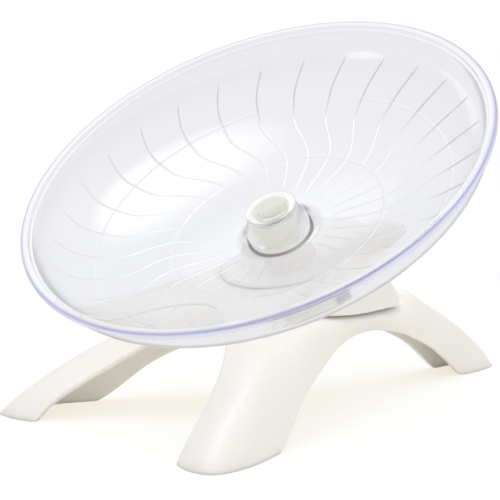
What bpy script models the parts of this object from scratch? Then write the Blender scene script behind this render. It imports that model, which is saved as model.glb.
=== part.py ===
"""Flying saucer wheel for small pets: a clear dish that spins on a tilted ball bearing hub over a white stand.

Metres, +Z up, the dish's low side faces -Y. The origin lies on the floor, under the middle of the whole object.
"""

import math

import bmesh
import bpy
from mathutils import Matrix, Vector

MM = 0.001

# Clearances
GAP = 0.3 * MM
FIT = 0.15 * MM
OVERRUN = 2 * MM
MERGE = 0.01 * MM
SHARP_ANGLE = math.radians(32)

# Pose of the dish over the stand
TILT = math.radians(30)
STAND_TURN = math.radians(10)
RIM_HEIGHT = 90.5 * MM
PIVOT_DROP = 55.5 * MM
DECK_DROP = 55 * MM

# Dish
RIM_RADIUS = 90 * MM
RIM_WIDTH = 3.2 * MM
RIM_DEPTH = 3 * MM
RIM_EDGE = 0.7 * MM
RIM_STEP = 1.5 * MM
BOWL_DEPTH = 30 * MM
BOWL_INSET = 2.3 * MM
BOWL_WALL = 2 * MM
BOWL_POWER = 2.35
RING_RADII = (67.7 * MM, 40.5 * MM)
RING_WIDTH = 1.2 * MM
RING_RISE = 0.5 * MM
DISH_STEPS = 56

# Hub boss of the dish
BOSS_DEPTH = 17 * MM
BOSS_WALL = 1 * MM
BOSS_FLARE = 7 * MM
BOSS_WEB = 1.2 * MM
BOSS_HOLE_RADIUS = 5.6 * MM
RECESS_RADIUS = 6.8 * MM
RECESS_DEPTH = 1.6 * MM
CAP_FLANGE = 0.6 * MM
CAP_RAISE = 0.6 * MM
CAP_MIDDLE_RADIUS = 5.2 * MM
CAP_HOLLOW_RADIUS = 4.4 * MM

# Bearings of 4 x 13 x 5 mm and the sleeve that holds them
BEARING_BORE_RADIUS = 2.15 * MM
BEARING_RADIUS = 6.5 * MM
BEARING_WIDTH = 5 * MM
BALL_RADIUS = 1.19 * MM
BALL_PITCH_RADIUS = 4.25 * MM
BALLS = 7
LAND_OFFSET = 0.95 * MM
GROOVE_DEPTH = 0.4 * MM
GROOVE_HALF = 0.45 * MM
SHIELD_THICKNESS = 0.25 * MM
SHIELD_LEDGE = 0.55 * MM
SHIELD_SEAT = 0.4 * MM
CAGE_HALF_WIDTH = 0.5 * MM
CAGE_BAND = 0.55 * MM
SLEEVE_RADIUS = 8.4 * MM
SLEEVE_LIP = 1.5 * MM
BEARING_SPACING = 2.5 * MM
SHOULDER_RADIUS = 5.3 * MM
SLEEVE_FOOT = 0.5 * MM
HUB_STEPS = 20

# Spindle, its washer and its screw
COLLAR_RADIUS = 3.2 * MM
COLLAR_LENGTH = 2.8 * MM
SHANK_LENGTH = 12 * MM
WASHER_THICKNESS = 0.6 * MM
SCREW_HEAD_RADIUS = 2.6 * MM
SCREW_HEAD_HEIGHT = 1.4 * MM
SCREW_RADIUS = 1.1 * MM
SCREW_LENGTH = 7 * MM
SLOT_WIDTH = 0.7 * MM
SLOT_DEPTH = 0.6 * MM

# Neck between the stand and the hub
CUP_RADIUS = 10.7 * MM
CUP_BORE_RADIUS = 9.5 * MM
CUP_GAP = 0.9 * MM
NECK_MIDDLE_RADIUS = 16 * MM
NECK_MIDDLE_DROP = 7.5 * MM
NECK_WALL = 2.4 * MM
NECK_FLOOR = 3.5 * MM
SOCKET_RADIUS = 5.2 * MM
POST_RADIUS = 3.3 * MM
NECK_FRONT = 33 * MM
NECK_REAR = 39 * MM
NECK_HALF_WIDTH = 24 * MM
NECK_SHOULDER = 5.6 * MM

# Stand
DECK_SLOPE = math.atan(0.11)
FRONT_REACH = 100 * MM
REAR_REACH = 92 * MM
FOOT_SPREAD = 62 * MM
STAND_WALL = 2.2 * MM
STAND_SCREW_RADIUS = 1.3 * MM
STAND_SCREW_HEAD_RADIUS = 3 * MM
STAND_SCREW_HEAD_HEIGHT = 2 * MM
STAND_SCREW_LENGTH = 12 * MM
STAND_SCREW_PLACES = ((14.5 * MM, 8 * MM), (-14.5 * MM, 8 * MM), (0, -24 * MM))

# Depths along the dish's axis, measured down from the plane of its rim
WEB_DEPTH = BOSS_DEPTH + RECESS_DEPTH
SLEEVE_DEPTH = WEB_DEPTH + BOSS_WEB + GAP
UPPER_BEARING_DEPTH = SLEEVE_DEPTH + SLEEVE_LIP + BEARING_WIDTH / 2
LOWER_BEARING_DEPTH = UPPER_BEARING_DEPTH + BEARING_WIDTH + BEARING_SPACING
SLEEVE_END_DEPTH = LOWER_BEARING_DEPTH + BEARING_WIDTH / 2 + SLEEVE_FOOT
CUP_DEPTH = SLEEVE_END_DEPTH + CUP_GAP
COLLAR_DEPTH = LOWER_BEARING_DEPTH + BEARING_WIDTH / 2 + FIT
CUP_FLOOR_DEPTH = COLLAR_DEPTH + COLLAR_LENGTH + GAP

# Where the dish and the stand lie, so that the whole object is centred on the origin. The deck and the pivot, where
# the dish's axis crosses the middle of the stand, hang below the centre of the rim, so they follow its height.
FRONT_EDGE = RIM_RADIUS * math.cos(TILT) - RIM_EDGE * math.sin(TILT)
REAR_EDGE = REAR_REACH * math.cos(STAND_TURN)
DECK_HEIGHT = RIM_HEIGHT - DECK_DROP
AXIS_SHIFT = PIVOT_DROP * math.tan(TILT)
RIM_Y = (FRONT_EDGE - AXIS_SHIFT - REAR_EDGE) / 2
STAND_Y = RIM_Y + AXIS_SHIFT

# The stand's half shell: columns from the front foot's tip to the rear foot's tip. Each column crosses from the
# inner edge or the middle plane, over the ridge, down to the lower edge. Sideways shares are of FOOT_SPREAD,
# lengthways shares of FRONT_REACH ahead and of REAR_REACH behind, and heights of DECK_HEIGHT, where ON_DECK is
# the sloping plane that the neck stands on.
ON_DECK = 1
STAND_SHARES = (
    ((0.65, 0.99, -0.06), (0.74, 1.02, -0.06), (0.86, 1.03, -0.06), (0.96, 1.02, -0.06), (1.00, 0.98, -0.06)),
    ((0.64, 0.97, 0.04), (0.74, 0.99, 0.10), (0.88, 0.98, 0.12), (0.97, 0.97, 0.05), (1.01, 0.93, -0.06)),
    ((0.61, 0.90, 0.24), (0.73, 0.91, 0.28), (0.85, 0.90, 0.29), (0.96, 0.89, 0.15), (1.00, 0.87, -0.06)),
    ((0.51, 0.77, 0.45), (0.66, 0.77, 0.52), (0.79, 0.76, 0.54), (0.91, 0.76, 0.28), (0.96, 0.75, -0.06)),
    ((0.38, 0.63, 0.71), (0.54, 0.63, 0.76), (0.67, 0.62, 0.78), (0.79, 0.62, 0.41), (0.86, 0.62, -0.06)),
    ((0.25, 0.54, 0.88), (0.42, 0.53, 0.92), (0.58, 0.51, 0.90), (0.70, 0.51, 0.60), (0.77, 0.51, 0.18)),
    ((0.11, 0.47, 0.94), (0.28, 0.44, 0.98), (0.52, 0.41, 0.96), (0.65, 0.42, 0.69), (0.70, 0.43, 0.38)),
    ((0.00, 0.45, 0.95), (0.22, 0.385, 1.04), (0.47, 0.32, 1.05), (0.58, 0.32, 0.74), (0.62, 0.33, 0.52)),
    ((0.00, 0.36, ON_DECK), (0.20, 0.29, ON_DECK), (0.44, 0.22, ON_DECK),
     (0.51, 0.22, 0.80), (0.52, 0.22, 0.60)),
    ((0.00, 0.19, ON_DECK), (0.19, 0.16, ON_DECK), (0.42, 0.12, ON_DECK),
     (0.45, 0.12, 0.83), (0.42, 0.12, 0.68)),
    ((0.00, 0.03, ON_DECK), (0.18, 0.02, ON_DECK), (0.38, 0.02, ON_DECK),
     (0.38, 0.02, 0.86), (0.34, 0.02, 0.73)),
    ((0.00, -0.12, ON_DECK), (0.15, -0.12, ON_DECK), (0.30, -0.12, 0.94),
     (0.29, -0.12, 0.83), (0.24, -0.12, 0.74)),
    ((0.00, -0.27, ON_DECK), (0.11, -0.27, ON_DECK), (0.21, -0.27, 0.87),
     (0.20, -0.27, 0.79), (0.17, -0.27, 0.70)),
    ((0.00, -0.38, ON_DECK), (0.08, -0.38, ON_DECK), (0.15, -0.38, 0.82),
     (0.16, -0.38, 0.73), (0.15, -0.38, 0.62)),
    ((0.00, -0.46, ON_DECK), (0.07, -0.46, ON_DECK), (0.14, -0.46, 0.79),
     (0.15, -0.46, 0.68), (0.145, -0.46, 0.55)),
    ((0.00, -0.48, 1.06), (0.07, -0.48, 1.02), (0.14, -0.48, 0.80),
     (0.15, -0.48, 0.66), (0.145, -0.48, 0.51)),
    ((0.00, -0.565, 0.91), (0.07, -0.565, 0.87), (0.13, -0.565, 0.70),
     (0.145, -0.565, 0.56), (0.145, -0.565, 0.41)),
    ((0.00, -0.66, 0.755), (0.07, -0.66, 0.71), (0.13, -0.66, 0.55),
     (0.14, -0.66, 0.40), (0.14, -0.66, 0.24)),
    ((0.00, -0.775, 0.57), (0.07, -0.775, 0.52), (0.13, -0.775, 0.32),
     (0.14, -0.775, 0.16), (0.14, -0.77, -0.06)),
    ((0.00, -0.88, 0.36), (0.065, -0.88, 0.31), (0.12, -0.875, 0.13),
     (0.135, -0.87, 0.03), (0.14, -0.865, -0.06)),
    ((0.00, -0.965, 0.14), (0.05, -0.965, 0.11), (0.095, -0.955, 0.035),
     (0.105, -0.95, -0.02), (0.11, -0.94, -0.06)),
    ((0.00, -1.01, -0.06), (0.04, -1.005, -0.06), (0.07, -0.99, -0.06),
     (0.09, -0.98, -0.06), (0.10, -0.97, -0.06)),
)

# The neck's half outlines, front to rear, in the frame of the sloping deck. The seam is where it meets the deck,
# and the shoulder and the waist are the rings above it. Sideways shares are of NECK_HALF_WIDTH, lengthways of
# NECK_FRONT ahead and NECK_REAR behind, heights of NECK_SHOULDER above the seam.
SEAM_SHARES = (
    (0.00, 1.00, 0), (0.36, 0.95, 0), (0.68, 0.80, 0), (0.91, 0.54, 0), (1.00, 0.22, 0), (0.93, -0.10, 0),
    (0.76, -0.37, 0), (0.57, -0.64, 0), (0.42, -0.88, 0), (0.34, -1.00, 0), (0.00, -1.00, 0),
)
SHOULDER_SHARES = (
    (0.00, 0.95, 0.25), (0.35, 0.90, 0.25), (0.66, 0.76, 0.3), (0.89, 0.51, 0.4), (0.98, 0.20, 0.5),
    (0.91, -0.10, 0.6), (0.74, -0.37, 0.6), (0.55, -0.64, 0.6), (0.40, -0.88, 0.5), (0.27, -1.00, 0.85),
    (0.00, -1.00, 1.45),
)
WAIST_SHARES = (
    (0.00, 0.85, 0.6), (0.30, 0.80, 0.65), (0.57, 0.66, 0.8), (0.77, 0.43, 0.95), (0.85, 0.14, 1.2),
    (0.79, -0.14, 1.6), (0.62, -0.36, 2.0), (0.43, -0.58, 2.0), (0.27, -0.76, 2.0), (0.14, -0.84, 2.25),
    (0.00, -0.87, 2.35),
)


def collection(name):
    made = bpy.data.collections.new(name)
    bpy.context.scene.collection.children.link(made)
    return made


def empty(name, location, rotation):
    """An axis that pieces are parented to."""
    axis = bpy.data.objects.new(name, None)
    axis.location = location
    axis.rotation_euler = rotation
    PARTS.objects.link(axis)
    return axis


def material(name, colour, roughness, metallic=0, transmission=0):
    made = bpy.data.materials.new(name)
    made.use_nodes = True
    shader = made.node_tree.nodes["Principled BSDF"]
    shader.inputs["Base Color"].default_value = (*colour, 1)
    shader.inputs["Roughness"].default_value = roughness
    shader.inputs["Metallic"].default_value = metallic
    shader.inputs["Transmission Weight"].default_value = transmission
    return made


def place(name, mesh, parent, finish, location=(0, 0, 0)):
    """A visible piece on its axis."""
    piece = bpy.data.objects.new(name, mesh)
    piece.parent = parent
    piece.location = location
    if finish:
        mesh.materials.append(finish)
    PARTS.objects.link(piece)
    return piece


def cutter(name, mesh, parent, location=(0, 0, 0)):
    """A hidden shape that other pieces are cut by."""
    tool = bpy.data.objects.new(name, mesh)
    tool.parent = parent
    tool.location = location
    tool.hide_render = True
    tool.display_type = "WIRE"
    CUTTERS.objects.link(tool)
    return tool


def cut(piece, tool):
    boolean = piece.modifiers.new(tool.name, "BOOLEAN")
    boolean.operation = "DIFFERENCE"
    boolean.object = tool
    boolean.solver = "EXACT"


def profile_mesh(name, points, closed):
    """A (radius, height) outline in the XZ plane."""
    count = len(points)
    edges = [(i, (i + 1) % count) for i in range(count if closed else count - 1)]
    mesh = bpy.data.meshes.new(name)
    mesh.from_pydata([(radius, 0, height) for radius, height in points], edges, [])
    return mesh


def turn(piece, steps):
    """Turns an outline about the object's Z axis."""
    screw = piece.modifiers.new("turn", "SCREW")
    screw.angle = 2 * math.pi
    screw.steps = steps
    screw.render_steps = steps
    screw.use_merge_vertices = True
    screw.merge_threshold = MERGE
    screw.use_smooth_shade = False
    return piece


def shaded(mesh):
    """Smooth over its curves, with its edges left sharp."""
    mesh.shade_smooth()
    mesh.set_sharp_from_angle(angle=SHARP_ANGLE)
    return mesh


def evaluated(piece):
    """A new mesh of a piece as its modifiers make it."""
    depsgraph = bpy.context.evaluated_depsgraph_get()
    return bpy.data.meshes.new_from_object(piece.evaluated_get(depsgraph))


def turned(name, points, parent, finish, steps, depth=0, closed=True):
    """A piece turned from its section about its parent's axis."""
    profile = profile_mesh(f"{name}_profile", points, closed)
    piece = turn(place(name, profile, parent, finish, (0, 0, -depth)), steps)
    piece.data = shaded(evaluated(piece))
    piece.data.name = name
    piece.modifiers.clear()
    bpy.data.meshes.remove(profile)
    return piece


def tube_points(inner, outer, top, bottom):
    return ((outer, top), (outer, bottom), (inner, bottom), (inner, top))


def cylinder_mesh(name, radius, top, bottom, steps):
    mesh = bpy.data.meshes.new(name)
    shape = bmesh.new()
    bmesh.ops.create_cone(
        shape, cap_ends=True, segments=steps, radius1=radius, radius2=radius, depth=top - bottom,
        matrix=Matrix.Translation((0, 0, (top + bottom) / 2)),
    )
    shape.to_mesh(mesh)
    shape.free()
    return mesh


def box_mesh(name, low, high):
    mesh = bpy.data.meshes.new(name)
    shape = bmesh.new()
    centre = (Vector(low) + Vector(high)) / 2
    size = Vector(high) - Vector(low)
    bmesh.ops.create_cube(shape, size=1, matrix=Matrix.Translation(centre) @ Matrix.Diagonal((*size, 1)))
    shape.to_mesh(mesh)
    shape.free()
    return mesh


def bowl_point(radius, depth, angle):
    """A point of the bowl's superellipse section: angle 0 is the rim, a quarter turn the lowest point."""
    power = 2 / BOWL_POWER
    return radius * math.cos(angle) ** power, -depth * math.sin(angle) ** power


def bowl_height(radius, bowl_radius, bowl_depth):
    return -bowl_depth * (1 - (radius / bowl_radius) ** BOWL_POWER) ** (1 / BOWL_POWER)


def saucer_points():
    """The dish's section: rim, bowl outside, hub bore, boss and bowl inside with its two raised rings."""
    outer_radius = RIM_RADIUS - BOWL_INSET
    inner_radius = outer_radius - BOWL_WALL
    inner_depth = BOWL_DEPTH - BOWL_WALL
    bore = SLEEVE_RADIUS + GAP
    boss = bore + BOSS_WALL
    points = [
        (RIM_RADIUS - RIM_EDGE, 0),
        (RIM_RADIUS, -RIM_EDGE),
        (RIM_RADIUS, RIM_EDGE - RIM_DEPTH),
        (RIM_RADIUS - RIM_EDGE, -RIM_DEPTH),
    ]
    outside_angles = (5, 12, 19, 27, 36, 46, 57, 68, 79)
    points += [bowl_point(outer_radius, BOWL_DEPTH, math.radians(angle)) for angle in outside_angles]
    points += [
        (boss + BOSS_FLARE, -BOWL_DEPTH),
        (bore, -BOWL_DEPTH),
        (bore, -WEB_DEPTH - BOSS_WEB),
        (BOSS_HOLE_RADIUS, -WEB_DEPTH - BOSS_WEB),
        (BOSS_HOLE_RADIUS, -WEB_DEPTH),
        (RECESS_RADIUS, -WEB_DEPTH),
        (RECESS_RADIUS, -BOSS_DEPTH),
        (boss, -BOSS_DEPTH),
    ]
    flare_depth = inner_depth - BOSS_DEPTH
    for angle in (15, 35, 55, 75):
        turned_by = math.radians(angle)
        points.append((
            boss + BOSS_FLARE * (1 - math.cos(turned_by)),
            -BOSS_DEPTH - flare_depth * math.sin(turned_by),
        ))
    inside = [bowl_point(inner_radius, inner_depth, math.radians(angle)) for angle in (80, 56, 46, 36, 26, 17, 9)]
    for ring in RING_RADII:
        floor = [
            (radius, bowl_height(radius, inner_radius, inner_depth))
            for radius in (ring - RING_WIDTH / 2, ring + RING_WIDTH / 2)
        ]
        inside += [floor[0], *[(radius, height + RING_RISE) for radius, height in floor], floor[1]]
    points += ordered_rings(inside)
    points += [
        (inner_radius, -RIM_STEP),
        (RIM_RADIUS - RIM_WIDTH, -RIM_STEP),
        (RIM_RADIUS - RIM_WIDTH, 0),
    ]
    return points


def ordered_rings(points):
    """Walks outward over the bowl's inside, so that each raised ring is climbed at its inner foot."""
    walked = []
    for radius in sorted({point[0] for point in points}):
        heights = sorted(point[1] for point in points if point[0] == radius)
        climbing = any(abs(radius - (ring - RING_WIDTH / 2)) < MERGE for ring in RING_RADII)
        walked += [(radius, height) for height in (heights if climbing else reversed(heights))]
    return walked


def make_saucer():
    turned("saucer", saucer_points(), DISH_AXIS, CLEAR, DISH_STEPS)


def make_hub_cap():
    """A clear disc with a raised middle, hollow below to clear the screw head."""
    radius = RECESS_RADIUS - GAP
    bottom = -WEB_DEPTH + GAP
    flange = bottom + CAP_FLANGE
    top = flange + CAP_RAISE
    points = (
        (0, top), (CAP_MIDDLE_RADIUS, top), (CAP_MIDDLE_RADIUS, flange), (radius, flange), (radius, bottom),
        (CAP_HOLLOW_RADIUS, bottom), (CAP_HOLLOW_RADIUS, bottom + CAP_RAISE), (0, bottom + CAP_RAISE),
    )
    turned("hub_cap", points, DISH_AXIS, CLEAR_CAP, HUB_STEPS, closed=False)


def make_sleeve():
    """Holds both bearings against a shoulder in its middle."""
    bore = BEARING_RADIUS + FIT
    shoulder_top = -UPPER_BEARING_DEPTH - BEARING_WIDTH / 2 - FIT
    shoulder_bottom = -LOWER_BEARING_DEPTH + BEARING_WIDTH / 2 + FIT
    points = (
        (SLEEVE_RADIUS, -SLEEVE_DEPTH), (SLEEVE_RADIUS, -SLEEVE_END_DEPTH), (bore, -SLEEVE_END_DEPTH),
        (bore, shoulder_bottom), (SHOULDER_RADIUS, shoulder_bottom), (SHOULDER_RADIUS, shoulder_top),
        (bore, shoulder_top), (bore, -SLEEVE_DEPTH),
    )
    turned("bearing_sleeve", points, DISH_AXIS, CREAM, HUB_STEPS)


def make_bearing(name, depth, cage_axis):
    """A shielded ball bearing: two races, two shields, a crown cage and its balls."""
    half = BEARING_WIDTH / 2
    outer_land = BALL_PITCH_RADIUS + LAND_OFFSET
    inner_land = BALL_PITCH_RADIUS - LAND_OFFSET
    ledge = half - SHIELD_LEDGE
    seat = outer_land + SHIELD_SEAT
    outer_points = (
        (BEARING_RADIUS, half), (BEARING_RADIUS, -half), (seat, -half), (seat, -ledge), (outer_land, -ledge),
        (outer_land, -LAND_OFFSET), (outer_land + GROOVE_DEPTH, -GROOVE_HALF),
        (outer_land + GROOVE_DEPTH, GROOVE_HALF), (outer_land, LAND_OFFSET),
        (outer_land, ledge), (seat, ledge), (seat, half),
    )
    turned(f"{name}_outer_race", outer_points, DISH_AXIS, STEEL, HUB_STEPS, depth)
    inner_points = (
        (inner_land, half), (inner_land, LAND_OFFSET), (inner_land - GROOVE_DEPTH, GROOVE_HALF),
        (inner_land - GROOVE_DEPTH, -GROOVE_HALF), (inner_land, -LAND_OFFSET), (inner_land, -half),
        (BEARING_BORE_RADIUS, -half), (BEARING_BORE_RADIUS, half),
    )
    turned(f"{name}_inner_race", inner_points, SPINDLE_AXIS, STEEL, HUB_STEPS, depth)
    shield_points = tube_points(inner_land + FIT, seat - FIT, SHIELD_THICKNESS / 2, -SHIELD_THICKNESS / 2)
    shield_offset = ledge + FIT + SHIELD_THICKNESS / 2
    for side, shift in (("top", -shield_offset), ("bottom", shield_offset)):
        turned(f"{name}_{side}_shield", shield_points, DISH_AXIS, STEEL, HUB_STEPS, depth + shift)
    pocket = BALL_RADIUS + FIT
    cage_points = tube_points(
        BALL_PITCH_RADIUS - CAGE_HALF_WIDTH, BALL_PITCH_RADIUS + CAGE_HALF_WIDTH,
        pocket / 2, -pocket - CAGE_BAND,
    )
    cage = turned(f"{name}_cage", cage_points, cage_axis, NYLON, BALLS * 4)
    ball_mesh = bpy.data.meshes.new(f"{name}_ball")
    ball_shape = bmesh.new()
    bmesh.ops.create_uvsphere(ball_shape, u_segments=8, v_segments=5, radius=BALL_RADIUS)
    ball_shape.to_mesh(ball_mesh)
    ball_shape.free()
    ball_mesh.shade_smooth()
    ball_mesh.materials.append(BALL_STEEL)
    pocket_mesh = cylinder_mesh(f"{name}_pocket", pocket, 2 * CAGE_HALF_WIDTH, -2 * CAGE_HALF_WIDTH, 12)
    for index in range(BALLS):
        angle = 2 * math.pi * index / BALLS
        centre = (BALL_PITCH_RADIUS * math.cos(angle), BALL_PITCH_RADIUS * math.sin(angle), 0)
        place(f"{name}_ball_{index + 1}", ball_mesh, cage_axis, None, centre)
        hole = cutter(f"{name}_pocket_{index + 1}", pocket_mesh, cage_axis, centre)
        hole.rotation_euler = (0, math.pi / 2, angle)
        cut(cage, hole)


def make_spindle():
    """A steel pin: the bearings' seat, a collar on the cup's floor and a shank pressed into the neck."""
    radius = BEARING_BORE_RADIUS - FIT
    top = -UPPER_BEARING_DEPTH + BEARING_WIDTH / 2 - GAP
    collar_top = -COLLAR_DEPTH
    collar_bottom = collar_top - COLLAR_LENGTH
    hole = SCREW_RADIUS + FIT
    hole_bottom = top - SCREW_LENGTH
    bottom = collar_bottom - SHANK_LENGTH
    points = (
        (0, hole_bottom), (hole, hole_bottom), (hole, top), (radius, top), (radius, collar_top),
        (COLLAR_RADIUS, collar_top), (COLLAR_RADIUS, collar_bottom), (radius, collar_bottom), (radius, bottom),
        (0, bottom),
    )
    turned("spindle", points, SPINDLE_AXIS, STEEL, HUB_STEPS, closed=False)


def cross_recess(name, parent, head_radius, top):
    """The two crossing bars of a cross head recess."""
    reach = head_radius / 2
    bars = []
    half = SLOT_WIDTH / 2
    for index, (across, along) in enumerate(((reach, half), (half, reach))):
        bar_name = f"{name}_bar_{index + 1}"
        bar = box_mesh(bar_name, (-across, -along, top - SLOT_DEPTH), (across, along, top + OVERRUN))
        bars.append(cutter(bar_name, bar, parent))
    return bars


def make_retainer():
    """The spacer between the inner races, and the washer and screw that hold them on the spindle."""
    race_radius = BALL_PITCH_RADIUS - LAND_OFFSET
    race_top = -UPPER_BEARING_DEPTH + BEARING_WIDTH / 2
    spacer_half = BEARING_SPACING / 2 - FIT
    middle = (UPPER_BEARING_DEPTH + LOWER_BEARING_DEPTH) / 2
    spacer_points = tube_points(BEARING_BORE_RADIUS, race_radius, spacer_half, -spacer_half)
    turned("race_spacer", spacer_points, SPINDLE_AXIS, STEEL, HUB_STEPS, middle)
    washer_bottom = race_top + FIT
    washer_top = washer_bottom + WASHER_THICKNESS
    washer_points = tube_points(SCREW_RADIUS + FIT, race_radius, washer_top, washer_bottom)
    turned("washer", washer_points, SPINDLE_AXIS, STEEL, HUB_STEPS)
    head_bottom = washer_top + FIT
    head_top = head_bottom + SCREW_HEAD_HEIGHT
    tip = race_top - SCREW_LENGTH
    screw_points = (
        (0, head_top), (SCREW_HEAD_RADIUS - SLOT_WIDTH / 2, head_top),
        (SCREW_HEAD_RADIUS, head_bottom + SLOT_DEPTH), (SCREW_HEAD_RADIUS, head_bottom),
        (SCREW_RADIUS, head_bottom), (SCREW_RADIUS, tip), (0, tip),
    )
    screw = turned("spindle_screw", screw_points, SPINDLE_AXIS, STEEL, HUB_STEPS, closed=False)
    for bar in cross_recess("spindle_screw", SPINDLE_AXIS, SCREW_HEAD_RADIUS, head_top):
        cut(screw, bar)


def side_surface(name, rings, closed):
    """A smoothed surface through rings or columns of points."""
    mesh = bpy.data.meshes.new(name)
    count = len(rings[0])
    faces = []
    for row in range(len(rings) - 1):
        for i in range(count if closed else count - 1):
            j = (i + 1) % count
            faces.append((row * count + i, row * count + j, (row + 1) * count + j, (row + 1) * count + i))
    mesh.from_pydata([tuple(point) for ring in rings for point in ring], [], faces)
    return mesh


def smooth(piece, levels=1):
    subdivision = piece.modifiers.new("smooth", "SUBSURF")
    subdivision.levels = levels
    subdivision.render_levels = levels
    subdivision.boundary_smooth = "ALL"


def capped(name, rings):
    """A closed body from a smoothed side surface and two flat ends."""
    guide = cutter(f"{name}_side", side_surface(f"{name}_side", rings, True), None)
    smooth(guide)
    mesh = evaluated(guide)
    mesh.name = name
    bpy.data.objects.remove(guide)
    shape = bmesh.new()
    shape.from_mesh(mesh)
    bmesh.ops.holes_fill(shape, edges=[edge for edge in shape.edges if edge.is_boundary])
    bmesh.ops.recalc_face_normals(shape, faces=shape.faces)
    shape.to_mesh(mesh)
    shape.free()
    return shaded(mesh)


def outline(shares, inset, drop):
    """A whole ring from a half outline of the neck, in the deck's frame."""
    half = []
    for across, along, rise in shares:
        half.append(Vector((
            across * (NECK_HALF_WIDTH - inset),
            -along * ((NECK_FRONT if along > 0 else NECK_REAR) - inset),
            GAP + rise * NECK_SHOULDER - drop,
        )))
    return half + [Vector((-point.x, point.y, point.z)) for point in half[-2:0:-1]]


def tilted_ring(radius, depth, count):
    """A ring about the dish's axis, in the deck's frame, that starts at its low side."""
    to_deck = (STAND_MATRIX @ DECK_MATRIX).inverted() @ DISH_MATRIX
    ring = []
    for index in range(count):
        angle = 2 * math.pi * index / count - math.pi / 2 - STAND_TURN
        ring.append(to_deck @ Vector((radius * math.cos(angle), radius * math.sin(angle), -depth)))
    return ring


def neck_rings(inset, top_depth):
    """Rings from the seam on the deck up to the cup. A positive inset gives the hollow inside the neck."""
    seam_drop = OVERRUN if inset else 0
    count = 2 * len(SEAM_SHARES) - 2
    return [
        outline(SEAM_SHARES, inset, seam_drop),
        outline(SHOULDER_SHARES, inset, inset),
        outline(WAIST_SHARES, inset, inset),
        tilted_ring(NECK_MIDDLE_RADIUS - inset, CUP_DEPTH + NECK_MIDDLE_DROP + inset, count),
        tilted_ring((CUP_RADIUS + NECK_MIDDLE_RADIUS) / 2 - inset, top_depth + NECK_MIDDLE_DROP / 2, count),
        tilted_ring(CUP_RADIUS - inset, top_depth, count),
    ]


def make_neck():
    """A hollow saddle with a cup for the hub, a socket for the spindle and three screw posts."""
    neck = place("neck", capped("neck", neck_rings(0, CUP_DEPTH)), DECK_AXIS, WHITE)
    hollow_mesh = capped("neck_hollow", neck_rings(NECK_WALL, CUP_FLOOR_DEPTH + NECK_FLOOR))
    hollow = cutter("neck_hollow", hollow_mesh, DECK_AXIS)
    socket_mesh = cylinder_mesh("socket", SOCKET_RADIUS, -CUP_FLOOR_DEPTH, -CUP_FLOOR_DEPTH - NECK_FRONT, 16)
    cut(hollow, cutter("socket", socket_mesh, SPINDLE_AXIS))
    post_mesh = cylinder_mesh("post", POST_RADIUS, NECK_FRONT, -2 * OVERRUN, 12)
    hole_mesh = cylinder_mesh("screw_hole", STAND_SCREW_RADIUS + GAP, STAND_SCREW_LENGTH, -2 * NECK_SHOULDER, 12)
    holes = []
    for index, (x, ahead) in enumerate(STAND_SCREW_PLACES):
        cut(hollow, cutter(f"post_{index + 1}", post_mesh, DECK_AXIS, (x, -ahead, 0)))
        holes.append(cutter(f"screw_hole_{index + 1}", hole_mesh, DECK_AXIS, (x, -ahead, 0)))
    cut(neck, hollow)
    cup_mesh = cylinder_mesh("cup", CUP_BORE_RADIUS, OVERRUN - CUP_DEPTH, -CUP_FLOOR_DEPTH, 32)
    cut(neck, cutter("cup", cup_mesh, SPINDLE_AXIS))
    bore_bottom = -COLLAR_DEPTH - COLLAR_LENGTH - SHANK_LENGTH - GAP
    bore_mesh = cylinder_mesh("spindle_bore", BEARING_BORE_RADIUS, -CUP_DEPTH, bore_bottom, HUB_STEPS)
    cut(neck, cutter("spindle_bore", bore_mesh, SPINDLE_AXIS))
    for hole in holes:
        cut(neck, hole)
    return holes


def stand_point(across, along, height):
    ahead = along * (FRONT_REACH if along > 0 else REAR_REACH)
    rise = ahead * math.tan(DECK_SLOPE) if height == ON_DECK else 0
    return Vector((across * FOOT_SPREAD, -ahead, height * DECK_HEIGHT + rise))


def make_stand(holes):
    """A thin white shell on three legs, open below, cut flat where its feet meet the floor."""
    columns = [[stand_point(*shares) for shares in column] for column in STAND_SHARES]
    shell = side_surface("stand", columns, False)
    shell.shade_smooth()
    stand = place("stand", shell, STAND_AXIS, WHITE)
    mirror = stand.modifiers.new("mirror", "MIRROR")
    mirror.merge_threshold = MERGE
    smooth(stand)
    wall = stand.modifiers.new("wall", "SOLIDIFY")
    wall.thickness = STAND_WALL
    wall.offset = -1
    wall.use_even_offset = True
    reach = FRONT_REACH + REAR_REACH
    floor = box_mesh("floor", (-reach, -reach, -DECK_HEIGHT), (reach, reach, 0))
    cut(stand, cutter("floor", floor, STAND_AXIS))
    for hole in holes:
        cut(stand, hole)


def make_stand_screws():
    """Screws driven up through the deck into the neck's posts."""
    head_top = -STAND_WALL - GAP
    head_bottom = head_top - STAND_SCREW_HEAD_HEIGHT
    tip = head_top + STAND_SCREW_LENGTH
    points = (
        (0, tip), (STAND_SCREW_RADIUS, tip), (STAND_SCREW_RADIUS, head_top), (STAND_SCREW_HEAD_RADIUS, head_top),
        (STAND_SCREW_HEAD_RADIUS, head_bottom), (0, head_bottom),
    )
    for index, (x, ahead) in enumerate(STAND_SCREW_PLACES):
        screw = turned(f"stand_screw_{index + 1}", points, DECK_AXIS, STEEL, HUB_STEPS, closed=False)
        screw.location = (x, -ahead, 0)


for scene_object in list(bpy.data.objects):
    bpy.data.objects.remove(scene_object)

PARTS = collection("flying_saucer_wheel")
CUTTERS = collection("cutters")

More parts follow.
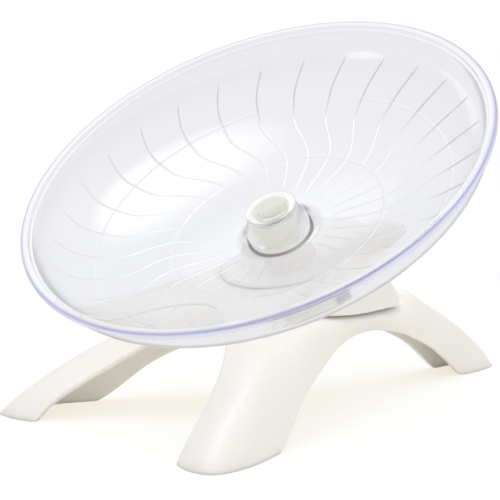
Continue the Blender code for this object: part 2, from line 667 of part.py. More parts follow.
CLEAR = material("clear_plastic", (0.9, 0.92, 0.97), 0.05, transmission=1)
CLEAR_CAP = material("clear_cap", (0.9, 0.93, 0.92), 0.1, transmission=1)
CREAM = material("cream_nylon", (0.8, 0.82, 0.72), 0.4)
WHITE = material("white_plastic", (0.86, 0.85, 0.82), 0.3)
NYLON = material("cage_nylon", (0.75, 0.74, 0.7), 0.5)
STEEL = material("steel", (0.6, 0.6, 0.6), 0.3, metallic=1)
BALL_STEEL = material("ball_steel", (0.75, 0.75, 0.77), 0.1, metallic=1)

DISH_PLACE = Vector((0, RIM_Y, RIM_HEIGHT))
STAND_PLACE = Vector((0, STAND_Y, 0))
DISH_MATRIX = Matrix.Translation(DISH_PLACE) @ Matrix.Rotation(TILT, 4, "X")
STAND_MATRIX = Matrix.Translation(STAND_PLACE) @ Matrix.Rotation(-STAND_TURN, 4, "Z")
DECK_PLACE = Vector((0, 0, DECK_HEIGHT))
DECK_MATRIX = Matrix.Translation(DECK_PLACE) @ Matrix.Rotation(-DECK_SLOPE, 4, "X")
DISH_AXIS = empty("dish_axis", DISH_PLACE, (TILT, 0, 0))
SPINDLE_AXIS = empty("spindle_axis", DISH_PLACE, (TILT, 0, 0))
STAND_AXIS = empty("stand_axis", STAND_PLACE, (0, 0, -STAND_TURN))
DECK_AXIS = empty("deck_axis", DECK_PLACE, (-DECK_SLOPE, 0, 0))
DECK_AXIS.parent = STAND_AXIS

make_saucer()
make_hub_cap()
make_sleeve()
BEARING_DEPTHS = {"upper_bearing": UPPER_BEARING_DEPTH, "lower_bearing": LOWER_BEARING_DEPTH}
for bearing_name, bearing_depth in BEARING_DEPTHS.items():
    bearing_axis = empty(f"{bearing_name}_cage_axis", (0, 0, -bearing_depth), (0, 0, 0))
    bearing_axis.parent = SPINDLE_AXIS
    make_bearing(bearing_name, bearing_depth, bearing_axis)
make_spindle()
make_retainer()
make_stand(make_neck())
make_stand_screws()
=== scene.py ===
"""A running saucer for small pets: a clear tilted dish that spins on a bearing hub above a white stand."""

import math

import bmesh
import bpy
import numpy as np
from mathutils import Matrix, Vector


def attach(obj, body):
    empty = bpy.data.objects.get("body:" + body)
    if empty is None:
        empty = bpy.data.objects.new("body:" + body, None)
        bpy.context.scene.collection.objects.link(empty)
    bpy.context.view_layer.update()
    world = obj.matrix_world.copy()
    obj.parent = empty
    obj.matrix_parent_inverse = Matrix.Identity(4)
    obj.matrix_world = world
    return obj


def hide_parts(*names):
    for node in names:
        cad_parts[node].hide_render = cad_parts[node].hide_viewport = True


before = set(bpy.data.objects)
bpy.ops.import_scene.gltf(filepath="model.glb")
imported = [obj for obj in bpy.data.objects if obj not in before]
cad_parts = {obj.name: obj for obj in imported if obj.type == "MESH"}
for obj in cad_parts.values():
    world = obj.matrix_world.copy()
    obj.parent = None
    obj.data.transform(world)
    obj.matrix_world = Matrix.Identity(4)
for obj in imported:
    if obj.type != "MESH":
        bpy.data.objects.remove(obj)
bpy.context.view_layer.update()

# Stand. One white ABS moulding on three legs: a thin shell that is open below and has a sloping deck for the
# neck. The mould's fine spark finish leaves it satin. Its feet are cut flat and rest on the wall's bare edge.
STAND_PLACE = np.array([0, 0.009517, 0])
STAND_TURN = math.radians(10)
DECK_HEIGHT = 0.0355
DECK_SLOPE = math.atan(0.11)
FRONT_REACH = 0.1
REAR_REACH = 0.09195
FOOT_SPREAD = 0.062
STAND_WALL = 0.0022
STAND_EDGE = 0.0005
CAGE_MERGE = 1e-5
MERGE = 1e-6

# The right half of the stand's skin as a coarse cage, in rows from the front foot over the deck to the rear
# foot. Each point is in hundredths: of the foot spread sideways, the reach ahead, and the deck's height.
DECK = 100
STAND_SHARES = np.array((
    ((65, 99, -6), (74, 102, -6), (86, 103, -6), (96, 102, -6), (100, 98, -6)),
    ((64, 97, 4), (74, 99, 10), (88, 98, 12), (97, 97, 5), (101, 93, -6)),
    ((61, 90, 24), (73, 91, 28), (85, 90, 29), (96, 89, 15), (100, 87, -6)),
    ((51, 77, 45), (66, 77, 52), (79, 76, 54), (91, 76, 28), (96, 75, -6)),
    ((38, 63, 71), (54, 63, 76), (67, 62, 78), (79, 62, 41), (86, 62, -6)),
    ((25, 54, 88), (42, 53, 92), (58, 51, 90), (70, 51, 60), (77, 51, 18)),
    ((11, 47, 94), (28, 44, 98), (52, 41, 96), (65, 42, 69), (70, 43, 38)),
    ((0, 45, 95), (22, 38.5, 104), (47, 32, 105), (58, 32, 74), (62, 33, 52)),
    ((0, 36, DECK), (20, 29, DECK), (44, 22, DECK), (51, 22, 80), (52, 22, 60)),
    ((0, 19, DECK), (19, 16, DECK), (42, 12, DECK), (45, 12, 83), (42, 12, 68)),
    ((0, 3, DECK), (18, 2, DECK), (38, 2, DECK), (38, 2, 86), (34, 2, 73)),
    ((0, -12, DECK), (15, -12, DECK), (30, -12, 94), (29, -12, 83), (24, -12, 74)),
    ((0, -27, DECK), (11, -27, DECK), (21, -27, 87), (20, -27, 79), (17, -27, 70)),
    ((0, -38, DECK), (8, -38, DECK), (15, -38, 82), (16, -38, 73), (15, -38, 62)),
    ((0, -46, DECK), (7, -46, DECK), (14, -46, 79), (15, -46, 68), (14.5, -46, 55)),
    ((0, -48, 106), (7, -48, 102), (14, -48, 80), (15, -48, 66), (14.5, -48, 51)),
    ((0, -56.5, 91), (7, -56.5, 87), (13, -56.5, 70), (14.5, -56.5, 56), (14.5, -56.5, 41)),
    ((0, -66, 75.5), (7, -66, 71), (13, -66, 55), (14, -66, 40), (14, -66, 24)),
    ((0, -77.5, 57), (7, -77.5, 52), (13, -77.5, 32), (14, -77.5, 16), (14, -77, -6)),
    ((0, -88, 36), (6.5, -88, 31), (12, -87.5, 13), (13.5, -87, 3), (14, -86.5, -6)),
    ((0, -96.5, 14), (5, -96.5, 11), (9.5, -95.5, 3.5), (10.5, -95, -2), (11, -94, -6)),
    ((0, -101, -6), (4, -100.5, -6), (7, -99, -6), (9, -98, -6), (10, -97, -6)),
))


def axes(angle, axis):
    """A turn about one axis as three rows, to multiply points by."""
    return np.array(Matrix.Rotation(angle, 3, axis)).T


def grid_quads(rows, columns, wrap_rows=False, wrap_columns=False):
    """Quads between neighbouring rows and columns of a grid of points that is stored row after row."""
    row = np.arange(rows if wrap_rows else rows - 1)[:, None]
    column = np.arange(columns if wrap_columns else columns - 1)[None, :]
    here, below = row * columns, (row + 1) % rows * columns
    beside = (column + 1) % columns
    corners = (here + column, here + beside, below + beside, below + column)
    return np.stack(corners, -1).reshape(-1, 4)


def mesh_of(name, points, quads, merge=MERGE, **marks):
    """A mesh from a grid of points, with the doubles at its seams and poles merged and its faces turned out.

    Each mark is a number from 0 to 1 at every point, kept under its name for the material.
    """
    mesh = bpy.data.meshes.new(name)
    mesh.from_pydata(points.reshape(-1, 3).tolist(), [], quads.tolist())
    for mark, values in marks.items():
        kept = mesh.attributes.new(mark, "FLOAT", "POINT")
        kept.data.foreach_set("value", values.ravel().astype(np.float32))
    shape = bmesh.new()
    shape.from_mesh(mesh)
    bmesh.ops.remove_doubles(shape, verts=shape.verts, dist=merge)
    bmesh.ops.recalc_face_normals(shape, faces=shape.faces)
    shape.to_mesh(mesh)
    shape.free()
    return mesh


def with_modifiers(mesh, *modifiers):
    """A mesh as a row of modifiers leaves it, each given as its kind and its settings."""
    guide = bpy.data.objects.new("guide", mesh)
    bpy.context.scene.collection.objects.link(guide)
    for kind, settings in modifiers:
        modifier = guide.modifiers.new(kind, kind)
        for setting, value in settings.items():
            setattr(modifier, setting, value)
    made = bpy.data.meshes.new_from_object(guide.evaluated_get(bpy.context.evaluated_depsgraph_get()))
    bpy.data.objects.remove(guide)
    return made


def fit(name, mesh, finish, body, slot, *nodes, sharp=35):
    """Puts a finished mesh in the scene in place of its CAD nodes, smooth but for its sharp edges."""
    mesh.shade_smooth()
    mesh.set_sharp_from_angle(angle=math.radians(sharp))
    mesh.materials.clear()
    mesh.materials.append(finish)
    piece = bpy.data.objects.new(name, mesh)
    bpy.context.scene.collection.objects.link(piece)
    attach(piece, body)
    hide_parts(*nodes)


def node(tree, kind, inputs=(), **settings):
    """A shader node with its settings made, and its inputs linked or set by name or number."""
    made = tree.nodes.new(f"ShaderNode{kind}")
    for setting, value in settings.items():
        setattr(made, setting, value)
    for socket, value in dict(inputs).items():
        if isinstance(value, bpy.types.NodeSocket):
            tree.links.new(value, made.inputs[socket])
        else:
            made.inputs[socket].default_value = value
    return made


def link(tree, sockets, results):
    """Links each result to the socket of its name."""
    for label, result in results.items():
        tree.links.new(result, sockets[label])


def math_of(tree, kind, *values, clamp=False):
    """The result of a Math node."""
    return node(tree, "Math", enumerate(values), operation=kind, use_clamp=clamp).outputs[0]


def ramp(tree, value, low, high, at_low=0.0, at_high=1.0, kind="LINEAR"):
    """A number that goes from one value to another while the one it follows goes from low to high."""
    limits = {0: value, 1: low, 2: high, 3: at_low, 4: at_high}
    return node(tree, "MapRange", limits, interpolation_type=kind).outputs[0]


def noise(tree, place, scale, detail):
    """A cloudy pattern from 0 to 1, its scale in patches a metre."""
    return node(tree, "TexNoise", {"Vector": place, "Scale": scale, "Detail": detail}).outputs["Fac"]


def blend(tree, factor, first, second, kind="MIX"):
    """The colour that a Mix node makes of two colours."""
    colours = {0: factor, 6: first, 7: second}
    return node(tree, "Mix", colours, data_type="RGBA", blend_type=kind).outputs[2]


def effect(name, takes, makes):
    """An empty node group that takes numbers and vectors and makes numbers, with the sockets of its ends."""
    group = bpy.data.node_groups.new(name, "ShaderNodeTree")
    for label, value in takes.items():
        kind = "NodeSocketVector" if isinstance(value, tuple) else "NodeSocketFloat"
        group.interface.new_socket(label, in_out="INPUT", socket_type=kind).default_value = value
    for label in makes:
        group.interface.new_socket(label, in_out="OUTPUT", socket_type="NodeSocketFloat")
    return group, group.nodes.new("NodeGroupInput").outputs, group.nodes.new("NodeGroupOutput").inputs


def use(tree, group, inputs):
    """Places an effect in a material and gives its outputs."""
    return node(tree, "Group", inputs, node_tree=group).outputs


def new_material(name, own_values=()):
    """A material, its tree, its Principled shader with the plain values given, and its Object coordinates."""
    made = bpy.data.materials.new(name)
    made.use_nodes = True
    tree = made.node_tree
    shader = tree.nodes["Principled BSDF"]
    for socket, value in dict(own_values).items():
        shader.inputs[socket].default_value = value
    return made, tree, shader, node(tree, "TexCoord").outputs["Object"]


def worn_surface(tree, shader, colour, worn, strength, depth):
    """Feeds an effect into a shader: its shade scales the colour, and its height is a bump of that depth."""
    tint = node(tree, "VectorMath", {0: colour, "Scale": worn["Shade"]}, operation="SCALE").outputs[0]
    bump = node(tree, "Bump", {"Height": worn["Height"], "Strength": strength, "Distance": depth}).outputs[0]
    link(tree, shader.inputs, {"Base Color": tint, "Roughness": worn["Roughness"], "Normal": bump})


def make_moulded_skin():
    """The skin of a moulding: broad flow clouds, a fine spark grain and a little dust on what faces up.

    The clouds shift the shade and the roughness up and down. The dust, where its specks are thick, takes from
    the shade and adds to the roughness. The grain is the height.
    """
    group, given, gives = effect(
        "moulded_skin", {"Place": (0, 0, 0), "Roughness": 0.3, "Uneven": 0.05, "Dust": 0.1},
        ("Shade", "Roughness", "Height"),
    )
    clouds = noise(group, given["Place"], 34, 3)
    grain = noise(group, given["Place"], 1500, 2)
    specks = noise(group, given["Place"], 420, 4)
    facing = node(group, "SeparateXYZ", {0: node(group, "NewGeometry").outputs["Normal"]}).outputs[2]
    lying = math_of(group, "MULTIPLY", math_of(group, "MAXIMUM", facing, 0.0), given["Dust"])
    dust = math_of(group, "MULTIPLY", lying, ramp(group, specks, 0.5, 0.75))
    wave = math_of(group, "MULTIPLY", math_of(group, "SUBTRACT", clouds, 0.5), given["Uneven"])
    link(group, gives, {
        "Shade": math_of(group, "SUBTRACT", math_of(group, "ADD", wave, 1.0), dust),
        "Roughness": math_of(group, "ADD", math_of(group, "ADD", given["Roughness"], wave), dust, clamp=True),
        "Height": grain,
    })
    return group


def moulded_plastic(name, colour, roughness, uneven, dust, grain_depth, own_values=()):
    """An opaque moulded plastic with its skin."""
    made, tree, shader, place = new_material(name, own_values)
    skin = use(tree, moulded_skin, {"Place": place, "Roughness": roughness, "Uneven": uneven, "Dust": dust})
    worn_surface(tree, shader, colour, skin, 0.5, grain_depth)
    return made


moulded_skin = make_moulded_skin()
white_abs = moulded_plastic("white_abs", (0.9, 0.872, 0.848), 0.32, 0.03, 0.03, 0.00001, {
    "IOR": 1.53, "Subsurface Weight": 0.8, "Subsurface Radius": (1, 0.97, 0.9), "Subsurface Scale": 0.004,
})

STAND_AXES = axes(-STAND_TURN, "Z")
across, along, rise = np.moveaxis(STAND_SHARES / 100, -1, 0)
ahead = along * np.where(along > 0, FRONT_REACH, REAR_REACH)
deck_rise = np.where(STAND_SHARES[..., 2] == DECK, ahead * math.tan(DECK_SLOPE), 0)
right_half = np.stack((across * FOOT_SPREAD, -ahead, rise * DECK_HEIGHT + deck_rise), -1)
both_halves = np.concatenate((right_half, right_half * (-1, 1, 1))) @ STAND_AXES + STAND_PLACE
half_quads = grid_quads(*across.shape)
cage_quads = np.concatenate((half_quads, half_quads[:, ::-1] + across.size))
cage = mesh_of("stand_cage", both_halves, cage_quads, merge=CAGE_MERGE)
shell = with_modifiers(
    cage,
    ("SUBSURF", {"levels": 3, "render_levels": 3, "boundary_smooth": "ALL"}),
    ("SOLIDIFY", {"thickness": STAND_WALL, "offset": -1, "use_even_offset": True}),
    ("BEVEL", {"width": STAND_EDGE, "segments": 2, "limit_method": "ANGLE", "angle_limit": math.radians(50)}),
)
shell_shape = bmesh.new()
shell_shape.from_mesh(shell)
bmesh.ops.bisect_plane(
    shell_shape, geom=shell_shape.verts[:] + shell_shape.edges[:] + shell_shape.faces[:],
    plane_co=(0, 0, 0), plane_no=(0, 0, 1), clear_inner=True,
)
bmesh.ops.holes_fill(shell_shape, edges=[edge for edge in shell_shape.edges if edge.is_boundary])
bmesh.ops.recalc_face_normals(shell_shape, faces=shell_shape.faces)
shell_shape.to_mesh(shell)
shell_shape.free()
fit("white_stand", shell, white_abs, "base", "white_plastic", "stand", sharp=50)

# Neck. A hollow white saddle of the same ABS, moulded by itself and screwed down on the deck. It leans over
# like the dish, and ends in a round cup for the hub. Only a fine seam parts it from the stand.
RIM_CENTRE = np.array([0, -0.022526, 0.0905])
TILT = math.radians(30)
NECK_HALF_WIDTH = 0.024
NECK_FRONT = 0.033
NECK_REAR = 0.039
NECK_SHOULDER = 0.0056
NECK_WALL = 0.0024
SEAM_GAP = 0.0003
SEAM_SHARES = np.array((
    (0.00, 1.00, 0), (0.36, 0.95, 0), (0.68, 0.80, 0), (0.91, 0.54, 0), (1.00, 0.22, 0), (0.93, -0.10, 0),
    (0.76, -0.37, 0), (0.57, -0.64, 0), (0.42, -0.88, 0), (0.34, -1.00, 0), (0.00, -1.00, 0),
))
SHOULDER_SHARES = np.array((
    (0.00, 0.95, 0.25), (0.35, 0.90, 0.25), (0.66, 0.76, 0.3), (0.89, 0.51, 0.4), (0.98, 0.20, 0.5),
    (0.91, -0.10, 0.6), (0.74, -0.37, 0.6), (0.55, -0.64, 0.6), (0.40, -0.88, 0.5), (0.27, -1.00, 0.85),
    (0.00, -1.00, 1.45),
))
WAIST_SHARES = np.array((
    (0.00, 0.85, 0.6), (0.30, 0.80, 0.65), (0.57, 0.66, 0.8), (0.77, 0.43, 0.95), (0.85, 0.14, 1.2),
    (0.79, -0.14, 1.6), (0.62, -0.36, 2.0), (0.43, -0.58, 2.0), (0.27, -0.76, 2.0), (0.14, -0.84, 2.25),
    (0.00, -0.87, 2.35),
))
MIDDLE_RADIUS = 0.016
MIDDLE_DROP = 0.0075
CUP_RADIUS = 0.0107
CUP_LIP_RADIUS = 0.0105
CUP_BORE_RADIUS = 0.0095
CUP_DEPTH = 0.0355
CUP_FLOOR_DEPTH = 0.03735
CUP_FLOOR_WALL = 0.0035
CUP_FLOOR_ROUND = 0.0004
SPINDLE_BORE_RADIUS = 0.00215
BROKEN_EDGE = 0.0001
TURNED_EDGE = 0.0002
MOULDED_EDGE = 0.0003
CORNER_STEPS = 4
SIDE_STEPS = 10
RING_STEPS = 8
RING_POINTS = 2 * len(SEAM_SHARES) - 2

DECK_PLACE = STAND_PLACE + (0, 0, DECK_HEIGHT)
DECK_AXES = axes(-DECK_SLOPE, "X") @ STAND_AXES
DISH_AXES = axes(TILT, "X")


def whole_ring(half, inset, drop):
    """A ring round the neck from its half outline, given as shares sideways, ahead and up from the seam."""
    across, along, rise = half.T
    ahead = along * (np.where(along > 0, NECK_FRONT, NECK_REAR) - inset)
    height = SEAM_GAP + rise * NECK_SHOULDER - drop
    right = np.stack((across * (NECK_HALF_WIDTH - inset), -ahead, height), -1)
    return np.concatenate((right, right[-2:0:-1] * (-1, 1, 1))) @ DECK_AXES + DECK_PLACE


def dish_ring(radius, depth, count=RING_POINTS):
    """A circle about the dish's axis at a depth below its rim, that starts at the low side of the stand."""
    angle = 2 * np.pi * np.arange(count) / count - np.pi / 2 - STAND_TURN
    ring = np.stack((radius * np.cos(angle), radius * np.sin(angle), np.full(count, -depth)), -1)
    return ring @ DISH_AXES + RIM_CENTRE


def spline(count, steps, closed):
    """Weights of a cubic B-spline: a row for each point of the curve, a column for each of its guide points.

    Each point blends four guide points by the cubic B-spline weights of its place between the middle two. An
    open curve gets one more guide point beyond each end, mirrored through the end, so that it starts there.
    """
    place = np.arange(count * steps if closed else (count - 1) * steps + 1) / steps
    first = np.minimum(np.floor(place), count - (1 if closed else 2)).astype(int)
    t = place - first
    blends = ((1 - t) ** 3, 3 * t ** 3 - 6 * t ** 2 + 4, -3 * t ** 3 + 3 * t ** 2 + 3 * t + 1, t ** 3)
    weights = np.zeros((len(place), count + 2))
    for shift, weight in enumerate(blends):
        column = (first + shift - 1) % count + 1 if closed else first + shift
        np.add.at(weights, (np.arange(len(place)), column), weight / 6)
    inner = weights[:, 1:-1].copy()
    if not closed:
        inner[:, 0] += 2 * weights[:, 0]
        inner[:, 1] -= weights[:, 0]
        inner[:, -1] += 2 * weights[:, -1]
        inner[:, -2] -= weights[:, -1]
    return inner


def neck_side(inset, top_depth):
    """The neck's side as a B-spline surface through six rings, from the seam up to the cup."""
    rings = np.stack((
        whole_ring(SEAM_SHARES, inset, 0),
        whole_ring(SHOULDER_SHARES, inset, inset),
        whole_ring(WAIST_SHARES, inset, inset),
        dish_ring(MIDDLE_RADIUS - inset, CUP_DEPTH + MIDDLE_DROP + inset),
        dish_ring((CUP_RADIUS + MIDDLE_RADIUS) / 2 - inset, top_depth + MIDDLE_DROP / 2),
        dish_ring(CUP_RADIUS - inset, top_depth),
    ))
    along_side, round_ring = spline(len(rings), SIDE_STEPS, False), spline(RING_POINTS, RING_STEPS, True)
    return np.einsum("ai,ijk,bj->abk", along_side, rings, round_ring)


def rounded(corners, steps=CORNER_STEPS):
    """A path of straight runs with rounded corners, each corner given as radius, height and rounding.

    The rounding is a parabola that starts and ends that far from the corner along its two sides, and a corner
    with none stays a point.
    """
    corners = np.array(corners, float)
    turn, cut = corners[:, :2], corners[:, 2:]
    before, after = np.roll(turn, 1, 0) - turn, np.roll(turn, -1, 0) - turn
    start = turn + before * cut / np.maximum(np.linalg.norm(before, axis=1, keepdims=True), 1e-9)
    end = turn + after * cut / np.maximum(np.linalg.norm(after, axis=1, keepdims=True), 1e-9)
    t = np.linspace(0, 1, steps)[:, None, None]
    return ((1 - t) ** 2 * start + 2 * t * (1 - t) * turn + t ** 2 * end).transpose(1, 0, 2).reshape(-1, 2)


# The cup in radius and depth. Its first corner only gives the lip its direction, and is then left out.
cup_path = rounded((
    (CUP_LIP_RADIUS, CUP_DEPTH, 0),
    (CUP_BORE_RADIUS, CUP_DEPTH, MOULDED_EDGE),
    (CUP_BORE_RADIUS, CUP_FLOOR_DEPTH, CUP_FLOOR_ROUND),
    (SPINDLE_BORE_RADIUS, CUP_FLOOR_DEPTH, 0),
    (SPINDLE_BORE_RADIUS, CUP_FLOOR_DEPTH + CUP_FLOOR_WALL, 0),
))[CORNER_STEPS:]
cup_rings = np.stack([dish_ring(*place, count=RING_POINTS * RING_STEPS) for place in cup_path])
outside = neck_side(0, CUP_DEPTH)
hollow = neck_side(NECK_WALL, CUP_FLOOR_DEPTH + CUP_FLOOR_WALL)
neck_grid = np.concatenate((outside, cup_rings, hollow[::-1]))
neck_quads = grid_quads(*neck_grid.shape[:2], wrap_rows=True, wrap_columns=True)
neck_mesh = mesh_of("white_neck", neck_grid, neck_quads)
fit("white_neck", neck_mesh, white_abs, "base", "white_plastic", "neck", sharp=40)

# Painted shade: the cup's bore and the inner edge of its lip are painted dark, as the shade in the gap.
GAP_SHADE_RADIUS = 0.01
GAP_SHADE_DEPTH = CUP_FLOOR_DEPTH + 0.0002


def face_places(mesh):
    """How far each face's middle lies from the dish's axis, and its height along that axis from the rim."""
    middles = np.empty(3 * len(mesh.polygons))
    mesh.polygons.foreach_get("center", middles)
    x, y, z = ((middles.reshape(-1, 3) - RIM_CENTRE) @ DISH_AXES.T).T
    return np.hypot(x, y), z


def part_finish(mesh, finish, chosen):
    """Gives the chosen faces of a fitted mesh a second material."""
    mesh.materials.append(finish)
    mesh.polygons.foreach_set("material_index", chosen.astype(np.int32))


# A dark brown that paints shade into the gap between the sleeve and the cup.
painted_gap_shade = moulded_plastic("painted_gap_shade", (0.27, 0.24, 0.17), 0.35, 0.3, 0, 0.00002)
neck_radius, neck_height = face_places(neck_mesh)
part_finish(neck_mesh, painted_gap_shade, (neck_radius < GAP_SHADE_RADIUS) & (neck_height > -GAP_SHADE_DEPTH))

# Screws. Three self-tapping steel screws hold the neck to the deck from below, and a finer one holds the
# inner races down on the spindle. Each has a rolled thread and a low pan head with a cross recess.
NECK_SCREW = {
    "head_radius": 0.003, "head_height": 0.002, "shank_radius": 0.0013, "length": 0.012, "pitch": 0.0009,
}
RACE_SCREW = {
    "head_radius": 0.0026, "head_height": 0.0014, "shank_radius": 0.0011, "length": 0.0079, "pitch": 0.0005,
}
NECK_SCREW_PLACES = ((0.0145, 0.008), (-0.0145, 0.008), (0, -0.024))
RACE_SCREW_DEPTH = 0.0207
SCREW_STEPS = 48
DOME_ROWS = 14
DOME_WIDTH_SHARE = 0.86
DOME_FALL_SHARE = 0.3
SLOT_WIDTH_SHARES = (0.072, 0.192)
SLOT_LENGTH_SHARES = (0.52, 0.62)
SLOT_DEPTH_SHARE = 0.6
THREAD_ROWS = 70
THREAD_END_SHARES = (0.03, 0.9)
THREAD_DEPTH_SHARE = 0.16
TIP_START_SHARE = 0.97


def from_dish(tree, place):
    """Object coordinates turned so that the dish's axis is their Z axis, with the rim's middle at 0."""
    centred = node(tree, "VectorMath", {0: place, 1: tuple(RIM_CENTRE)}, operation="SUBTRACT").outputs[0]
    return node(tree, "VectorRotate", {0: centred, "Angle": -TILT}, rotation_type="X_AXIS").outputs[0]


def length_of(tree, first, second):
    """The square root of the sum of two squares."""
    squares = [math_of(tree, "POWER", side, 2.0) for side in (first, second)]
    return math_of(tree, "SQRT", math_of(tree, "ADD", *squares))


def make_turning_marks():
    """The rings that a lathe tool leaves: fine circles about the dish's axis, with streaks between them.

    Noise that is read by radius and height alone gives the circles, and they are the height. The circles and
    the streaks together shift the shade and the roughness up and down.
    """
    group, given, gives = effect(
        "turning_marks", {"Place": (0, 0, 0), "Roughness": 0.25, "Marks": 0.1},
        ("Shade", "Roughness", "Height"),
    )
    turned = from_dish(group, given["Place"])
    x, y, z = node(group, "SeparateXYZ", {0: turned}).outputs
    ring_place = node(group, "CombineXYZ", {0: length_of(group, x, y), 1: z}).outputs[0]
    rings = noise(group, ring_place, 5200, 2)
    streaks = noise(group, turned, 900, 3)
    both = math_of(group, "SUBTRACT", math_of(group, "ADD", rings, streaks), 1.0)
    uneven = math_of(group, "MULTIPLY", both, given["Marks"])
    link(group, gives, {
        "Shade": math_of(group, "ADD", 1.0, uneven),
        "Roughness": math_of(group, "ADD", given["Roughness"], uneven, clamp=True),
        "Height": rings,
    })
    return group


def steel(name, colour, roughness, marks):
    """Bare steel with its turning marks."""
    made, tree, shader, place = new_material(name, {"Metallic": 1})
    worked = use(tree, turning_marks, {"Place": place, "Roughness": roughness, "Marks": marks})
    worn_surface(tree, shader, colour, worked, 0.3, 0.00001)
    return made


turning_marks = make_turning_marks()
plated_steel = steel("plated_steel", (0.62, 0.62, 0.6), 0.28, 0.1)
ground_steel = steel("ground_steel", (0.56, 0.57, 0.58), 0.2, 0.08)


def fading(value, full, gone):
    """A number that falls evenly from 1 to 0 while a value goes from one limit to the other."""
    return np.clip((gone - value) / (gone - full), 0, 1)


def screw_mesh(name, screw_axes, place, head_radius, head_height, shank_radius, length, pitch):
    """A screw from the middle of its head to its tip, turned about its axis.

    The head's top is a shallow dome, sunk by a cross of two bars whose edges slope in. Down the shank the
    radius swells and shrinks once each pitch, and each turn of the angle shifts that by one pitch, which
    makes a helix. The last part runs to a point.
    """
    angle = 2 * np.pi * np.arange(SCREW_STEPS) / SCREW_STEPS
    share = np.linspace(0, 1, DOME_ROWS)
    dome = head_height * (1 - DOME_FALL_SHARE * share ** 2)
    top = np.stack((share * head_radius * DOME_WIDTH_SHARE, dome), -1)
    side = rounded((
        (head_radius, head_height * 0.5, head_height * 0.2),
        (head_radius, 0, head_height * 0.08),
        (shank_radius, 0, 0),
    ), 3)
    depth = np.linspace(*THREAD_END_SHARES, THREAD_ROWS) * length
    shank = np.stack((np.full_like(depth, shank_radius), -depth), -1)
    tip = ((shank_radius * 0.5, -length * TIP_START_SHARE), (0, -length))
    path = np.concatenate((top, side, shank, tip))
    radius = np.repeat(path[:, :1], SCREW_STEPS, 1)
    height = np.repeat(path[:, 1:], SCREW_STEPS, 1)
    threaded = slice(len(top) + len(side), len(path) - len(tip))
    turns = -height[threaded] / pitch - angle / (2 * np.pi)
    radius[threaded] *= 1 - THREAD_DEPTH_SHARE * np.abs(2 * (turns % 1) - 1)
    x, y = radius * np.cos(angle), radius * np.sin(angle)
    narrow, wide = np.minimum(abs(x), abs(y)) / head_radius, np.maximum(abs(x), abs(y)) / head_radius
    bars = fading(narrow, *SLOT_WIDTH_SHARES) * fading(wide, *SLOT_LENGTH_SHARES)
    height[:len(top)] -= (bars * head_height * SLOT_DEPTH_SHARE)[:len(top)]
    points = np.stack((x, y, height), -1) @ screw_axes + place
    return mesh_of(name, points, grid_quads(*points.shape[:2], wrap_columns=True))


for number, (sideways, forward) in enumerate(NECK_SCREW_PLACES, 1):
    head_seat = np.array([sideways, -forward, -STAND_WALL - SEAM_GAP]) @ DECK_AXES + DECK_PLACE
    upside_down = axes(math.pi, "X") @ DECK_AXES
    neck_screw = screw_mesh(f"neck_screw_{number}", upside_down, head_seat, **NECK_SCREW)
    fit(f"neck_screw_{number}", neck_screw, plated_steel, "base", "steel", f"stand_screw_{number}")

race_screw_seat = np.array([0, 0, -RACE_SCREW_DEPTH]) @ DISH_AXES + RIM_CENTRE
race_screw = screw_mesh("race_screw", DISH_AXES, race_screw_seat, **RACE_SCREW)
fit("race_screw", race_screw, plated_steel, "base", "steel", "spindle_screw")

# Spindle. A turned steel pin whose shank is pressed into the neck. Its collar stands on the cup's floor and
# carries the lower inner race. A spacer keeps the inner races apart, and a washer under the screw holds them.
SPINDLE_RADIUS = 0.002
SPINDLE_TOP = -0.0219
SPINDLE_END = -0.04905
COLLAR_RADIUS = 0.0032
COLLAR_TOP = -0.03425
COLLAR_END = -0.03705
TAPPED_RADIUS = 0.00125
TAPPED_END = -0.0286
DRILL_TIP = -0.0316
RACE_BORE_RADIUS = 0.00215
SPACER_RADIUS = 0.0033
SPACER_TOP = -0.02675
SPACER_END = -0.02895
WASHER_TOP = -0.02085
WASHER_END = -0.02145
TURNED_STEPS = 96


def turned_mesh(name, path, closed=True):
    """A surface of revolution about the dish's axis: each point of the path goes round at its own radius."""
    angle = 2 * np.pi * np.arange(TURNED_STEPS) / TURNED_STEPS
    radius, height = np.array(path).T[:, :, None]
    points = np.stack((radius * np.cos(angle), radius * np.sin(angle), height + 0 * angle), -1)
    quads = grid_quads(len(path), TURNED_STEPS, wrap_rows=closed, wrap_columns=True)
    return mesh_of(name, points @ DISH_AXES + RIM_CENTRE, quads)


def tube(inner, outer, top, bottom, rounding):
    """The section of a tube with its four edges broken."""
    corners = ((outer, top), (outer, bottom), (inner, bottom), (inner, top))
    return rounded([(*corner, rounding) for corner in corners])


spindle_path = rounded((
    (0, DRILL_TIP, 0), (TAPPED_RADIUS, TAPPED_END, 0), (TAPPED_RADIUS, SPINDLE_TOP, BROKEN_EDGE),
    (SPINDLE_RADIUS, SPINDLE_TOP, TURNED_EDGE), (SPINDLE_RADIUS, COLLAR_TOP, 0),
    (COLLAR_RADIUS, COLLAR_TOP, TURNED_EDGE), (COLLAR_RADIUS, COLLAR_END, TURNED_EDGE),
    (SPINDLE_RADIUS, COLLAR_END, 0), (SPINDLE_RADIUS, SPINDLE_END, MOULDED_EDGE), (0, SPINDLE_END, 0),
))
spindle_pin = turned_mesh("spindle_pin", spindle_path, closed=False)
fit("spindle_pin", spindle_pin, ground_steel, "base", "steel", "spindle")

spacer_path = tube(RACE_BORE_RADIUS, SPACER_RADIUS, SPACER_TOP, SPACER_END, BROKEN_EDGE)
spacer = turned_mesh("inner_race_spacer", spacer_path)
fit("inner_race_spacer", spacer, ground_steel, "base", "steel", "race_spacer")
washer_path = tube(TAPPED_RADIUS, SPACER_RADIUS, WASHER_TOP, WASHER_END, BROKEN_EDGE)
washer = turned_mesh("race_washer", washer_path)
fit("race_washer", washer, plated_steel, "base", "steel", "washer")

